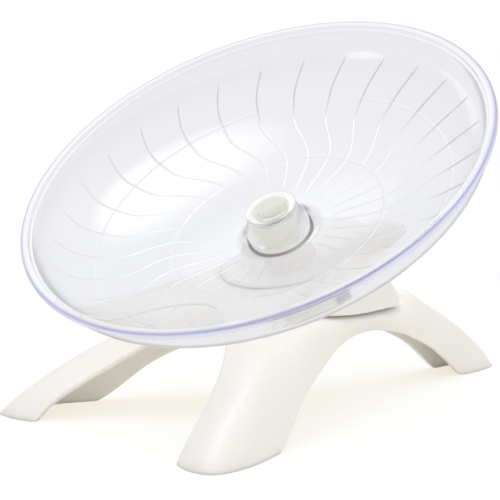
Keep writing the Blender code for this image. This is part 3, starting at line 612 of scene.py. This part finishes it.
# Bearings. Two shielded 624-size ball bearings, one above the other. Ground steel races turn on polished
# balls in a nylon crown cage, and a steel shield closes each side. The outer races turn with the dish.
BEARING_DEPTHS = {"upper_bearing": 0.0241, "lower_bearing": 0.0316}
BEARING_HALF = 0.0025
BEARING_RADIUS = 0.0065
BALLS = 7
OUTER_LAND = 0.0052
INNER_LAND = 0.0033
LAND_HALF = 0.00095
GROOVE_DEPTH = 0.0004
SHIELD_SEAT = 0.0056
SHIELD_LEDGE = 0.00195
SHIELD_OFFSET = 0.0021
SHIELD_THICKNESS = 0.00025
SHIELD_BULGE = 0.00006
SHIELD_RADII = np.array((0.00545, 0.0052, 0.0049, 0.0041, 0.0038, 0.00345))
SHIELD_BULGE_SHARES = np.array((0, 0, 1, 1, 0, 0))

polished_steel = steel("polished_steel", (0.72, 0.73, 0.75), 0.06, 0.02)
shield_steel = steel("shield_steel", (0.5, 0.5, 0.5), 0.34, 0.14)
cage_nylon = moulded_plastic("cage_nylon", (0.7, 0.68, 0.6), 0.45, 0.06, 0, 0.00001)

# The sections of the races are in radius and height from the bearing's middle. The balls' grooves are half
# ellipses.
groove = np.linspace(-1, 1, 9)
groove_depth = GROOVE_DEPTH * np.sqrt(1 - groove ** 2)
outer_section = np.concatenate((
    rounded((
        (SHIELD_SEAT, -SHIELD_LEDGE, 0), (SHIELD_SEAT, -BEARING_HALF, BROKEN_EDGE),
        (BEARING_RADIUS, -BEARING_HALF, MOULDED_EDGE), (BEARING_RADIUS, BEARING_HALF, MOULDED_EDGE),
        (SHIELD_SEAT, BEARING_HALF, BROKEN_EDGE), (SHIELD_SEAT, SHIELD_LEDGE, 0),
        (OUTER_LAND, SHIELD_LEDGE, 0),
    )),
    np.stack((OUTER_LAND + groove_depth, -groove * LAND_HALF), -1),
    ((OUTER_LAND, -SHIELD_LEDGE),),
))
inner_section = np.concatenate((
    rounded((
        (INNER_LAND, -BEARING_HALF, TURNED_EDGE), (RACE_BORE_RADIUS, -BEARING_HALF, TURNED_EDGE),
        (RACE_BORE_RADIUS, BEARING_HALF, TURNED_EDGE), (INNER_LAND, BEARING_HALF, TURNED_EDGE),
    )),
    np.stack((INNER_LAND - groove_depth, -groove * LAND_HALF), -1),
))
SHIELD_FACES = {
    "top": (SHIELD_OFFSET + SHIELD_THICKNESS, SHIELD_BULGE),
    "bottom": (-SHIELD_OFFSET, -SHIELD_BULGE),
}


def refinish(node_name, finish):
    """Gives a CAD node that stays in sight its material."""
    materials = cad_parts[node_name].data.materials
    materials.clear()
    materials.append(finish)


for bearing, depth in BEARING_DEPTHS.items():
    down = np.array((0, -depth))
    outer_race = turned_mesh(f"{bearing}_outer_ring", outer_section + down)
    fit(f"{bearing}_outer_ring", outer_race, ground_steel, "dish", "steel", f"{bearing}_outer_race")
    inner_race = turned_mesh(f"{bearing}_inner_ring", inner_section + down)
    fit(f"{bearing}_inner_ring", inner_race, ground_steel, "base", "steel", f"{bearing}_inner_race")
    for side, (face, bulge) in SHIELD_FACES.items():
        dished = np.stack((SHIELD_RADII, face + bulge * SHIELD_BULGE_SHARES), -1)
        pressed = np.concatenate((dished, dished[::-1] - (0, SHIELD_THICKNESS)))
        shield = turned_mesh(f"{bearing}_{side}_cover", pressed + down)
        fit(f"{bearing}_{side}_cover", shield, shield_steel, "dish", "steel", f"{bearing}_{side}_shield")
    refinish(f"{bearing}_cage", cage_nylon)
    for ball in range(1, BALLS + 1):
        refinish(f"{bearing}_ball_{ball}", polished_steel)

# Sleeve. A turned cream nylon bush that is pressed up into the dish's hub and holds both outer races against
# the shoulder in its middle. Its lower end hangs just inside the neck's cup, and the lowest millimetre of its
# outside is painted dark as painted shade of the gap.
SLEEVE_RADIUS = 0.0084
SLEEVE_BORE_RADIUS = 0.00665
SLEEVE_TOP = -0.0201
SLEEVE_END = -0.0346
SLEEVE_TOP_ROUND = 0.0004
SLEEVE_END_ROUND = 0.0005
SHOULDER_RADIUS = 0.0053
SHADE_BAND_LENGTH = 0.0011
SHADE_BAND_LIMIT = 0.001
SHADE_BAND_INSIDE = 0.0066

cream_nylon = moulded_plastic("cream_nylon", (0.95, 0.955, 0.85), 0.36, 0.05, 0.02, 0.000015, {
    "Subsurface Weight": 0.15, "Subsurface Radius": (1, 1, 0.9), "Subsurface Scale": 0.002,
})
sleeve_path = rounded((
    (SLEEVE_RADIUS, SLEEVE_TOP, SLEEVE_TOP_ROUND), (SLEEVE_RADIUS, SLEEVE_END + SHADE_BAND_LENGTH, 0),
    (SLEEVE_RADIUS, SLEEVE_END, SLEEVE_END_ROUND), (SLEEVE_BORE_RADIUS, SLEEVE_END, TURNED_EDGE),
    (SLEEVE_BORE_RADIUS, SPACER_END, 0), (SHOULDER_RADIUS, SPACER_END, TURNED_EDGE),
    (SHOULDER_RADIUS, SPACER_TOP, TURNED_EDGE), (SLEEVE_BORE_RADIUS, SPACER_TOP, 0),
    (SLEEVE_BORE_RADIUS, SLEEVE_TOP, TURNED_EDGE),
))
sleeve_mesh = turned_mesh("cream_sleeve", sleeve_path)
fit("cream_sleeve", sleeve_mesh, cream_nylon, "dish", "cream_nylon", "bearing_sleeve")
# The lowest band of the sleeve's outside gets the dark colour: painted shade where it dips into the cup.
sleeve_radius, sleeve_height = face_places(sleeve_mesh)
shade_band_faces = (sleeve_radius > SHADE_BAND_INSIDE) & (sleeve_height < SLEEVE_END + SHADE_BAND_LIMIT)
part_finish(sleeve_mesh, painted_gap_shade, shade_band_faces)

# Saucer. One injection moulding of clear polystyrene: a deep dish with a bead round its rim, two fine rings
# and thirty swept grip ribs inside, and a hollow boss in the middle. The side of its thick rim is painted
# blue-violet, partly the plastic's own tint edge on and partly painted shade, and its upper outer corner
# carries a dark violet painted shade. The mould's core pin has left the bore of the boss frosted.
RIM_RADIUS = 0.09
RIM_END = -0.003
RIM_ROUND = 0.0013
RIM_INNER_ROUND = 0.0004
RIM_FOOT_RADIUS = 0.0876
RIM_FOOT = -0.0034
RIM_STEPS = 5
LEDGE_RADIUS = 0.0868
LEDGE_HEIGHT = -0.0015
BOWL_TOP = -0.0024
BOWL_RADIUS = 0.0857
BOWL_DEPTH = 0.028
BOWL_WALL = 0.002
BOWL_POWER = 2.35
STEEPEST_SHARE = 0.999
BOSS_RADIUS = 0.0097
BOSS_BORE_RADIUS = 0.0087
BOSS_HOLE_RADIUS = 0.0056
BOSS_TOP = -0.017
BOSS_END = -0.03
BOSS_TOP_ROUND = 0.0005
RECESS_RADIUS = 0.0068
WEB_TOP = -0.0186
WEB_END = -0.0198
BOSS_FLARE = 0.007
FLARE_WALL = 0.0016
FLARE_TOP = -0.0182
FLARE_STEP = 0.00005
FLARE_END = -0.0252
FLARE_TO_BOWL = 0.0005
FROSTED_RADIUS = 0.0091
FROSTED_TOP = -0.016
RING_RADII = (0.0677, 0.0405)
RING_HEIGHT = 0.0002
RING_SPREAD = 0.0003
RING_REACH = 0.0009
RIBS = 30
RIB_STEP = 2 * math.pi / RIBS
RIB_START = math.radians(9.7)
RIB_WIDTH = 0.001
RIB_HEIGHT = 0.00042
RIB_INNER_END = 0.02
RIB_INNER_FADE = 0.003
RIB_OUTER_END = 0.0825
RIB_OUTER_FADE = 0.002

# The ribs are worn towards the hub, and the painted shade on their flanks fades there: the share left there,
# the radius where it grows to 1, and its reach.
RIB_WEAR = (0.34, 0.054, 0.014)
RIB_SHADE_FADE = (0.1, 0.058, 0.012)

# The ribs' sweep: each step in degrees, the radius where it starts, and its reach.
SWING = (-9.8, 0.062, 0.024)
TURN_BACK = (1.5, 0.036, 0.012)
CURL = (-5, 0.068, 0.016)
SWEEP_END = 0.016

# Across one rib: where its columns lie in half widths, how high they stand, and how much painted shade
# darkens its flank. The columns between two ribs are at shares of the gap.
RIB_SHARES = np.array((-1.2, -1, -0.5, 0, 0.5, 1, 1.2))
RIB_LIFT_SHARES = np.array((0, 0, 0.8, 1, 0.8, 0, 0))
RIB_SHADE_SHARES = np.array((0, 0.6, 1, 0.5, 0, 0, 0))
GAP_SHARES = np.array((0.17, 0.33, 0.5, 0.67, 0.83))


def eased(share):
    """A smooth step from 0 to 1."""
    share = np.clip(share, 0, 1)
    return share * share * (3 - 2 * share)


def superellipse(radius, depth, angle):
    """Radius and height of a superellipse at an angle below the rim: cosine and sine to the power 2 / n."""
    power = 2 / BOWL_POWER
    return np.stack((radius * np.cos(angle) ** power, -depth * np.sin(angle) ** power), -1)


def bowl_height(radius):
    """The bowl's inside as a superellipse: how far it lies below the rim at a radius."""
    return -BOWL_DEPTH * (1 - np.minimum(radius / BOWL_RADIUS, 1) ** BOWL_POWER) ** (1 / BOWL_POWER)


def bowl_slope(radius):
    """How steep the bowl's inside is at a radius, as rise over run: the slope of its superellipse."""
    share = np.minimum(radius / BOWL_RADIUS, STEEPEST_SHARE)
    fall = (1 - share ** BOWL_POWER) ** (1 / BOWL_POWER - 1)
    return BOWL_DEPTH / BOWL_RADIUS * share ** (BOWL_POWER - 1) * fall


def rib_sweep(radius):
    """How far a rib is swept back, in radians, at a radius.

    It curls back towards the wall, runs straight past the outer ring, swings back in an S between the rings,
    and turns a little forward again before it reaches the hub. The swing and the turn are smooth steps over
    their reach, and the curl grows with the square of the distance past its start.
    """
    radius = np.maximum(radius, SWEEP_END)
    between = sum(degrees * eased((start - radius) / reach) for degrees, start, reach in (SWING, TURN_BACK))
    degrees, start, reach = CURL
    wall = degrees * np.clip((radius - start) / reach, 0, None) ** 2
    return np.radians(between + wall)


def worn(radius, least, start, reach):
    """A share that grows in a smooth step from its least to 1, from a radius outwards."""
    return least + (1 - least) * eased((radius - start) / reach)


def round_dish(rib_shares):
    """Values across one rib, and none across the gap after it, repeated for all ribs."""
    return np.tile(np.concatenate((rib_shares, 0 * GAP_SHARES)), RIBS)


flare_foot = BOSS_RADIUS + BOSS_FLARE
flare_height = bowl_height(flare_foot) - BOSS_TOP
outside_angle = np.radians(np.linspace(5.5, 80, 40))
outside_path = superellipse(BOWL_RADIUS + BOWL_WALL, BOWL_DEPTH + BOWL_WALL, outside_angle)
under_angle = np.radians(np.linspace(86, 38, 12))
under_flare = np.stack((
    flare_foot - (BOSS_FLARE + FLARE_WALL) * np.cos(under_angle),
    BOSS_TOP + (flare_height - FLARE_WALL) * np.sin(under_angle),
), -1)
boss_path = rounded((
    (BOSS_RADIUS, FLARE_END, 0), (BOSS_RADIUS, BOSS_END, MOULDED_EDGE),
    (BOSS_BORE_RADIUS, BOSS_END, MOULDED_EDGE), (BOSS_BORE_RADIUS, WEB_END, MOULDED_EDGE),
    (BOSS_HOLE_RADIUS, WEB_END, TURNED_EDGE), (BOSS_HOLE_RADIUS, WEB_TOP, TURNED_EDGE),
    (RECESS_RADIUS, WEB_TOP, TURNED_EDGE), (RECESS_RADIUS, BOSS_TOP, MOULDED_EDGE),
    (BOSS_RADIUS, BOSS_TOP, BOSS_TOP_ROUND), (BOSS_RADIUS + FLARE_STEP, FLARE_TOP, 0),
))
flare_angle = np.linspace(0.12, np.pi / 2, 14)
flare_path = np.stack((
    BOSS_RADIUS + BOSS_FLARE * (1 - np.cos(flare_angle)),
    BOSS_TOP + flare_height * np.sin(flare_angle),
), -1)
bowl_radius = superellipse(BOWL_RADIUS, BOWL_DEPTH, np.radians(np.linspace(86, 2.5, 92)))[:, 0]
bowl_radius = bowl_radius[bowl_radius > flare_foot + FLARE_TO_BOWL]
ring_radius = [ring + np.linspace(-RING_REACH, RING_REACH, 9) for ring in RING_RADII]
inside_radius = np.unique(np.concatenate((bowl_radius, *ring_radius)))
ring_bump = sum(RING_HEIGHT * np.exp(-((inside_radius - ring) / RING_SPREAD) ** 2) for ring in RING_RADII)
inside_path = np.stack((inside_radius, bowl_height(inside_radius) + ring_bump), -1)
rim_path = rounded((
    (BOWL_RADIUS, BOWL_TOP, 0), (BOWL_RADIUS, LEDGE_HEIGHT, TURNED_EDGE),
    (LEDGE_RADIUS, LEDGE_HEIGHT, TURNED_EDGE), (LEDGE_RADIUS, 0, RIM_INNER_ROUND),
    (RIM_RADIUS, 0, RIM_ROUND), (RIM_RADIUS, RIM_END, RIM_ROUND),
    (RIM_FOOT_RADIUS, RIM_END, TURNED_EDGE), (RIM_FOOT_RADIUS, RIM_FOOT, 0),
), RIM_STEPS)
up_to_inside = np.concatenate((outside_path, under_flare, boss_path, flare_path))
saucer_path = np.concatenate((up_to_inside, inside_path, rim_path))
is_inside = np.zeros((len(saucer_path), 1), bool)
is_inside[len(up_to_inside):-len(rim_path)] = True

# The path goes round the dish in columns that follow the ribs' sweep, and the ribs rise square to the bowl.
path_radius, path_height = saucer_path[:, :1], saucer_path[:, 1:]
rib_start = eased((path_radius - RIB_INNER_END) / RIB_INNER_FADE)
rib_window = rib_start * eased((RIB_OUTER_END - path_radius) / RIB_OUTER_FADE) * is_inside
half_rib = np.minimum(RIB_WIDTH / 2 / path_radius, RIB_STEP / 8)
one_rib = np.concatenate((half_rib * RIB_SHARES, half_rib + GAP_SHARES * (RIB_STEP - 2 * half_rib)), 1)
all_ribs = one_rib[:, None, :] + RIB_STEP * np.arange(RIBS)[None, :, None]
saucer_angle = (all_ribs + RIB_START + rib_sweep(path_radius)[:, :, None]).reshape(len(saucer_path), -1)
lift = RIB_HEIGHT * (rib_window * worn(path_radius, *RIB_WEAR)) * round_dish(RIB_LIFT_SHARES)
slope = bowl_slope(path_radius)
steepness = np.sqrt(1 + slope ** 2)
rib_radius = path_radius - lift * (slope / steepness)
rib_height = path_height + lift * (1 / steepness)
saucer_x, saucer_y = rib_radius * np.cos(saucer_angle), rib_radius * np.sin(saucer_angle)
saucer_points = np.stack((saucer_x, saucer_y, rib_height), -1) @ DISH_AXES + RIM_CENTRE
saucer_quads = grid_quads(*saucer_angle.shape, wrap_rows=True, wrap_columns=True)
# The painted shade on the ribs' flanks, kept on the mesh for the clear material.
rib_shade_marks = rib_window * worn(path_radius, *RIB_SHADE_FADE) * round_dish(RIB_SHADE_SHARES)
saucer_mesh = mesh_of("clear_saucer", saucer_points, saucer_quads, rib_flank=rib_shade_marks)

# The rim's side tint, partly its own and partly painted shade, and its corner's painted shade: how far in
# from its side and from its upper corner they begin and end.
SIDE_DEPTHS = (0.0006, 0.0001)
CORNER_SHADE_REACHES = (0.0004, 0.0013)


def make_handled_clear():
    """A handled clear moulding: where its rim takes its tint and painted shade, its scuffs and its flow.

    The side is where the radius comes near the rim's, and the corner fades with the distance from the rim's
    upper edge. Noise that is drawn out across the dish gives the scuffs, and they add to the roughness. Broad
    flow clouds add a little to the roughness too, and they are the height.
    """
    group, given, gives = effect(
        "handled_clear", {"Place": (0, 0, 0), "Roughness": 0.03, "Haze": 0.05},
        ("Side", "Corner", "Roughness", "Height"),
    )
    turned = from_dish(group, given["Place"])
    x, y, z = node(group, "SeparateXYZ", {0: turned}).outputs
    from_axis = length_of(group, x, y)
    from_corner = length_of(group, math_of(group, "SUBTRACT", RIM_RADIUS, from_axis), z)
    flow = noise(group, turned, 26, 3)
    drawn_out = node(group, "VectorMath", {0: turned, 1: (1, 0.06, 1)}, operation="MULTIPLY").outputs[0]
    scuff = ramp(group, noise(group, drawn_out, 700, 4), 0.55, 0.8)
    hazy = math_of(group, "MULTIPLY", scuff, given["Haze"])
    uneven = math_of(group, "ADD", hazy, math_of(group, "MULTIPLY", flow, 0.02))
    link(group, gives, {
        "Side": ramp(group, from_axis, *(RIM_RADIUS - depth for depth in SIDE_DEPTHS)),
        "Corner": ramp(group, from_corner, *CORNER_SHADE_REACHES, 1.0, 0.0),
        "Roughness": math_of(group, "ADD", given["Roughness"], uneven),
        "Height": flow,
    })
    return group


def clear_plastic(name, colour, outline, roughness, haze, clearness, passing_rays, side=None, corner=None):
    """A clear moulding that bends light for the eye, while the kinds of light named go straight through it.

    The side of its rim can have a tint of its own, partly painted shade, and its upper corner a painted
    shade.
    The flanks of its ribs are darkened by painted shade, and what is seen at a grazing angle is multiplied by
    the outline's colour, partly for the longer path through the wall and partly as painted shade along edges.
    """
    made, tree, shader, place = new_material(name, {"Transmission Weight": clearness, "IOR": 1.5})
    clear = use(tree, handled_clear, {"Place": place, "Roughness": roughness, "Haze": haze})
    # The rim's side tint is partly the plastic's own and partly painted shade; its corner colour is painted
    # shade.
    tint = blend(tree, clear["Side"], (*colour, 1), (*(side or colour), 1))
    tint = blend(tree, clear["Corner"], tint, (*(corner or colour), 1))
    # The ribs' flanks are darkened by painted shade.
    flank = node(tree, "Attribute", attribute_name="rib_flank").outputs["Fac"]
    tint = blend(tree, flank, tint, (0.57, 0.57, 0.62, 1), "MULTIPLY")
    # Painted shade: grazing views are darkened towards the outline's colour, which draws dark edges on clear
    # walls.
    slant = node(tree, "LayerWeight", {"Blend": 0.5}).outputs["Facing"]
    grazing = ramp(tree, slant, 0.62, 0.9, kind="SMOOTHSTEP")
    tint = blend(tree, grazing, tint, (*outline, 1), "MULTIPLY")
    bump = node(tree, "Bump", {"Height": clear["Height"], "Strength": 0.2, "Distance": 0.0004}).outputs[0]
    link(tree, shader.inputs, {"Base Color": tint, "Roughness": clear["Roughness"], "Normal": bump})
    ray = node(tree, "LightPath").outputs
    see_through = node(tree, "BsdfTransparent", {"Color": (0.985, 0.985, 0.985, 1)}).outputs[0]
    surface = shader.outputs[0]
    for kind in passing_rays:
        surface = node(tree, "MixShader", {0: ray[kind], 1: surface, 2: see_through}).outputs[0]
    link(tree, tree.nodes["Material Output"].inputs, {"Surface": surface})
    return made


SOFT = ("Is Diffuse Ray", "Is Shadow Ray")
SOFT_AND_MIRRORED = ("Is Glossy Ray", *SOFT)
handled_clear = make_handled_clear()
# The side colour is partly the plastic's edge-on tint and partly painted shade; the corner colour is painted
# shade.
clear_styrene = clear_plastic(
    "clear_styrene", (0.78, 0.785, 0.845), (0.12, 0.12, 0.2), 0.01, 0.12, 0.74, SOFT_AND_MIRRORED,
    side=(0.66, 0.66, 0.9), corner=(0.3, 0.3, 0.7),
)
milky_styrene = clear_plastic("milky_styrene", (0.91, 0.92, 0.89), (0.9, 0.9, 0.9), 0.2, 0.02, 0.75, SOFT)
fit("clear_saucer", saucer_mesh, clear_styrene, "dish", "clear_plastic", "saucer", sharp=60)
face_radius, face_height = face_places(saucer_mesh)
part_finish(saucer_mesh, milky_styrene, (face_radius < FROSTED_RADIUS) & (face_height < FROSTED_TOP))

# Hub cap. A clear disc with a raised middle, snapped into the recess on top of the boss to keep dirt and hair
# out of the bearing. It is hollow below, over the head of the spindle's screw.
CAP_RADIUS = 0.0065
CAP_MIDDLE_RADIUS = 0.0052
CAP_HOLLOW_RADIUS = 0.0044
CAP_TOP = -0.0171
CAP_STEP = -0.0177
CAP_END = -0.0183

cap_clear = clear_plastic("cap_clear", (0.8, 0.82, 0.785), (0.3, 0.32, 0.3), 0.08, 0.06, 0.52, SOFT)
cap_path = rounded((
    (0, CAP_TOP, 0), (CAP_MIDDLE_RADIUS, CAP_TOP, MOULDED_EDGE), (CAP_MIDDLE_RADIUS, CAP_STEP, BROKEN_EDGE),
    (CAP_RADIUS, CAP_STEP, TURNED_EDGE), (CAP_RADIUS, CAP_END, BROKEN_EDGE),
    (CAP_HOLLOW_RADIUS, CAP_END, BROKEN_EDGE), (CAP_HOLLOW_RADIUS, CAP_STEP, BROKEN_EDGE), (0, CAP_STEP, 0),
))
clear_cap = turned_mesh("clear_cap", cap_path, closed=False)
fit("clear_cap", clear_cap, cap_clear, "dish", "clear_cap", "hub_cap")

# Studio. A white table top that runs into a white background, a large soft box overhead and a small low
# panel on the right. The sky holds the glows that the dish mirrors, and the camera has a long lens.
TABLE_HALF = 4
TABLE_HEIGHT = -0.0001
SHADOW_END_RADII = (0.13, 0.26)
SHADOW_WHITE_SHARE = 0.6
VIEW_AZIMUTH = 39
VIEW_ELEVATION = 11.6
CAMERA_PLACE = (0.8867, -1.1206, 0.3512)
LAMPS_AIM = Vector((0, 0, 0.08))
LAMPS = (
    ("overhead_box", (-0.25, -0.15, 1.15), (0.5, 0.5), 1.7),
    ("low_panel", (0.95, -0.45, 0.12), (0.5, 0.2), 0.15),
)

# Each glow: azimuth, elevation, the angles where it is full and where it is gone, and its strength.
AMBIENT_GLOWS = ((-35, 62, 5, 115, 0.22), (110, 68, 10, 85, 0.5))
MIRRORED_GLOWS = (
    (-100, 76, 5, 95, 0.7), (-90, 79, 2, 21, 4.0), (-109, 48, 1, 9, 1.0), (-27, 8, 2, 11, 2.8),
    (-74, 0, 0, 9, 0.8), (-84, 7, 0, 9, 0.9), (-96, 10, 0, 9, 0.8),
)

table_mesh = bpy.data.meshes.new("table_top")
table_corners = [
    (x * TABLE_HALF, y * TABLE_HALF, TABLE_HEIGHT) for x, y in ((-1, -1), (1, -1), (1, 1), (-1, 1))
]
table_mesh.from_pydata(table_corners, [], [(0, 1, 2, 3)])
table_top = bpy.data.objects.new("table_top", table_mesh)
bpy.context.scene.collection.objects.link(table_top)


def make_table_white():
    """White paper that shows the part's soft shadow, and is the background's plain white further out.

    Near the part it glows warm over a bluish colour, which paints a cream tint into the shadow.
    """
    made, tree, shader, place = new_material("table_white", {"Roughness": 0.9, "Specular IOR Level": 0})
    # A bluish colour that, under the warm glow, makes the shadow read cream: a painted shadow tint.
    shadow_tinting_colour = blend(tree, noise(tree, place, 60, 2), (0.48, 0.65, 0.95, 1), (0.49, 0.66, 0.96, 1))
    ray = node(tree, "LightPath").outputs
    table_tint = blend(tree, ray["Is Diffuse Ray"], shadow_tinting_colour, (0.9, 0.88, 0.8, 1))
    link(tree, shader.inputs, {"Base Color": table_tint})
    looked_at = math_of(tree, "ADD", ray["Is Camera Ray"], ray["Is Transmission Ray"])
    seen = math_of(tree, "ADD", looked_at, ray["Is Glossy Ray"], clamp=True)
    away = node(tree, "VectorMath", {0: place}, operation="LENGTH").outputs["Value"]
    white_share = ramp(tree, away, *SHADOW_END_RADII, kind="SMOOTHSTEP")
    # A warm glow near the part: painted light that tints its shadow cream.
    warm_shadow = blend(tree, white_share, (1.33, 1.22, 1.0, 1), (1, 1, 1, 1))
    white_out = node(tree, "Emission", {"Color": warm_shadow, "Strength": 1.0}).outputs[0]
    shown = math_of(tree, "MULTIPLY", seen, ramp(tree, white_share, 0.0, 1.0, SHADOW_WHITE_SHARE, 1.0))
    surface = node(tree, "MixShader", {0: shown, 1: shader.outputs[0], 2: white_out}).outputs[0]
    link(tree, tree.nodes["Material Output"].inputs, {"Surface": surface})
    return made


def direction(azimuth, elevation):
    """The direction that lies at an azimuth from the front and an elevation, both in degrees."""
    azimuth, elevation = math.radians(azimuth), math.radians(elevation)
    level = math.cos(elevation)
    return Vector((math.sin(azimuth) * level, -math.cos(azimuth) * level, math.sin(elevation)))


def glowing(tree, sky, strength, glows):
    """The strength of a sky with round glows added, their angles in degrees."""
    for azimuth, elevation, full, gone, power in glows:
        towards = tuple(direction(azimuth, elevation))
        facing = node(tree, "VectorMath", {0: sky, 1: towards}, operation="DOT_PRODUCT").outputs["Value"]
        limits = math.cos(math.radians(gone)), math.cos(math.radians(full))
        strength = math_of(tree, "ADD", ramp(tree, facing, *limits, 0.0, power, "SMOOTHSTEP"), strength)
    return strength


def background(tree, colour, strength):
    """A plain colour for the sky."""
    return node(tree, "Background", {"Color": (*colour, 1), "Strength": strength}).outputs[0]


def make_white_studio():
    """A sky that is plain white to the eye, gives soft light, and shows its own glows in what is glossy."""
    world = bpy.data.worlds.new("white_studio")
    world.use_nodes = True
    tree = world.node_tree
    tree.nodes.clear()
    sky = node(tree, "TexCoord").outputs["Generated"]
    ambient = background(tree, (1, 0.995, 0.985), glowing(tree, sky, 0.5, AMBIENT_GLOWS))
    sky_height = node(tree, "SeparateXYZ", {0: sky}).outputs[2]
    horizon = ramp(tree, sky_height, 0.0, 0.28, 0.9, 0.2, "SMOOTHSTEP")
    mirrored = background(tree, (0.97, 0.98, 1), glowing(tree, sky, horizon, MIRRORED_GLOWS))
    white = background(tree, (1, 1, 1), 1.0)
    ray = node(tree, "LightPath").outputs
    for_gloss = node(tree, "MixShader", {0: ray["Is Glossy Ray"], 1: ambient, 2: mirrored}).outputs[0]
    seen = math_of(tree, "ADD", ray["Is Camera Ray"], ray["Is Transmission Ray"], clamp=True)
    for_eye = node(tree, "MixShader", {0: seen, 1: for_gloss, 2: white}).outputs[0]
    node(tree, "OutputWorld", {"Surface": for_eye})
    return world


table_mesh.materials.append(make_table_white())
bpy.context.scene.world = make_white_studio()

for lamp_name, lamp_place, lamp_size, power in LAMPS:
    lamp = bpy.data.lights.new(lamp_name, "AREA")
    lamp.shape = "RECTANGLE"
    lamp.size, lamp.size_y = lamp_size
    lamp.energy = power
    box = bpy.data.objects.new(lamp_name, lamp)
    box.location = lamp_place
    box.rotation_euler = (LAMPS_AIM - Vector(lamp_place)).to_track_quat("-Z", "Y").to_euler()
    box.visible_glossy = False
    bpy.context.scene.collection.objects.link(box)

camera = bpy.data.objects.new("camera", bpy.data.cameras.new("camera"))
camera.data.lens = 288
camera.data.sensor_width = 36
camera.data.clip_end = 20
camera.location = CAMERA_PLACE
camera.rotation_euler = (-direction(VIEW_AZIMUTH, VIEW_ELEVATION)).to_track_quat("-Z", "Y").to_euler()
bpy.context.scene.collection.objects.link(camera)
bpy.context.scene.camera = camera
bpy.context.scene.view_settings.view_transform = "Standard"
bpy.context.scene.cycles.transparent_max_bounces = 24
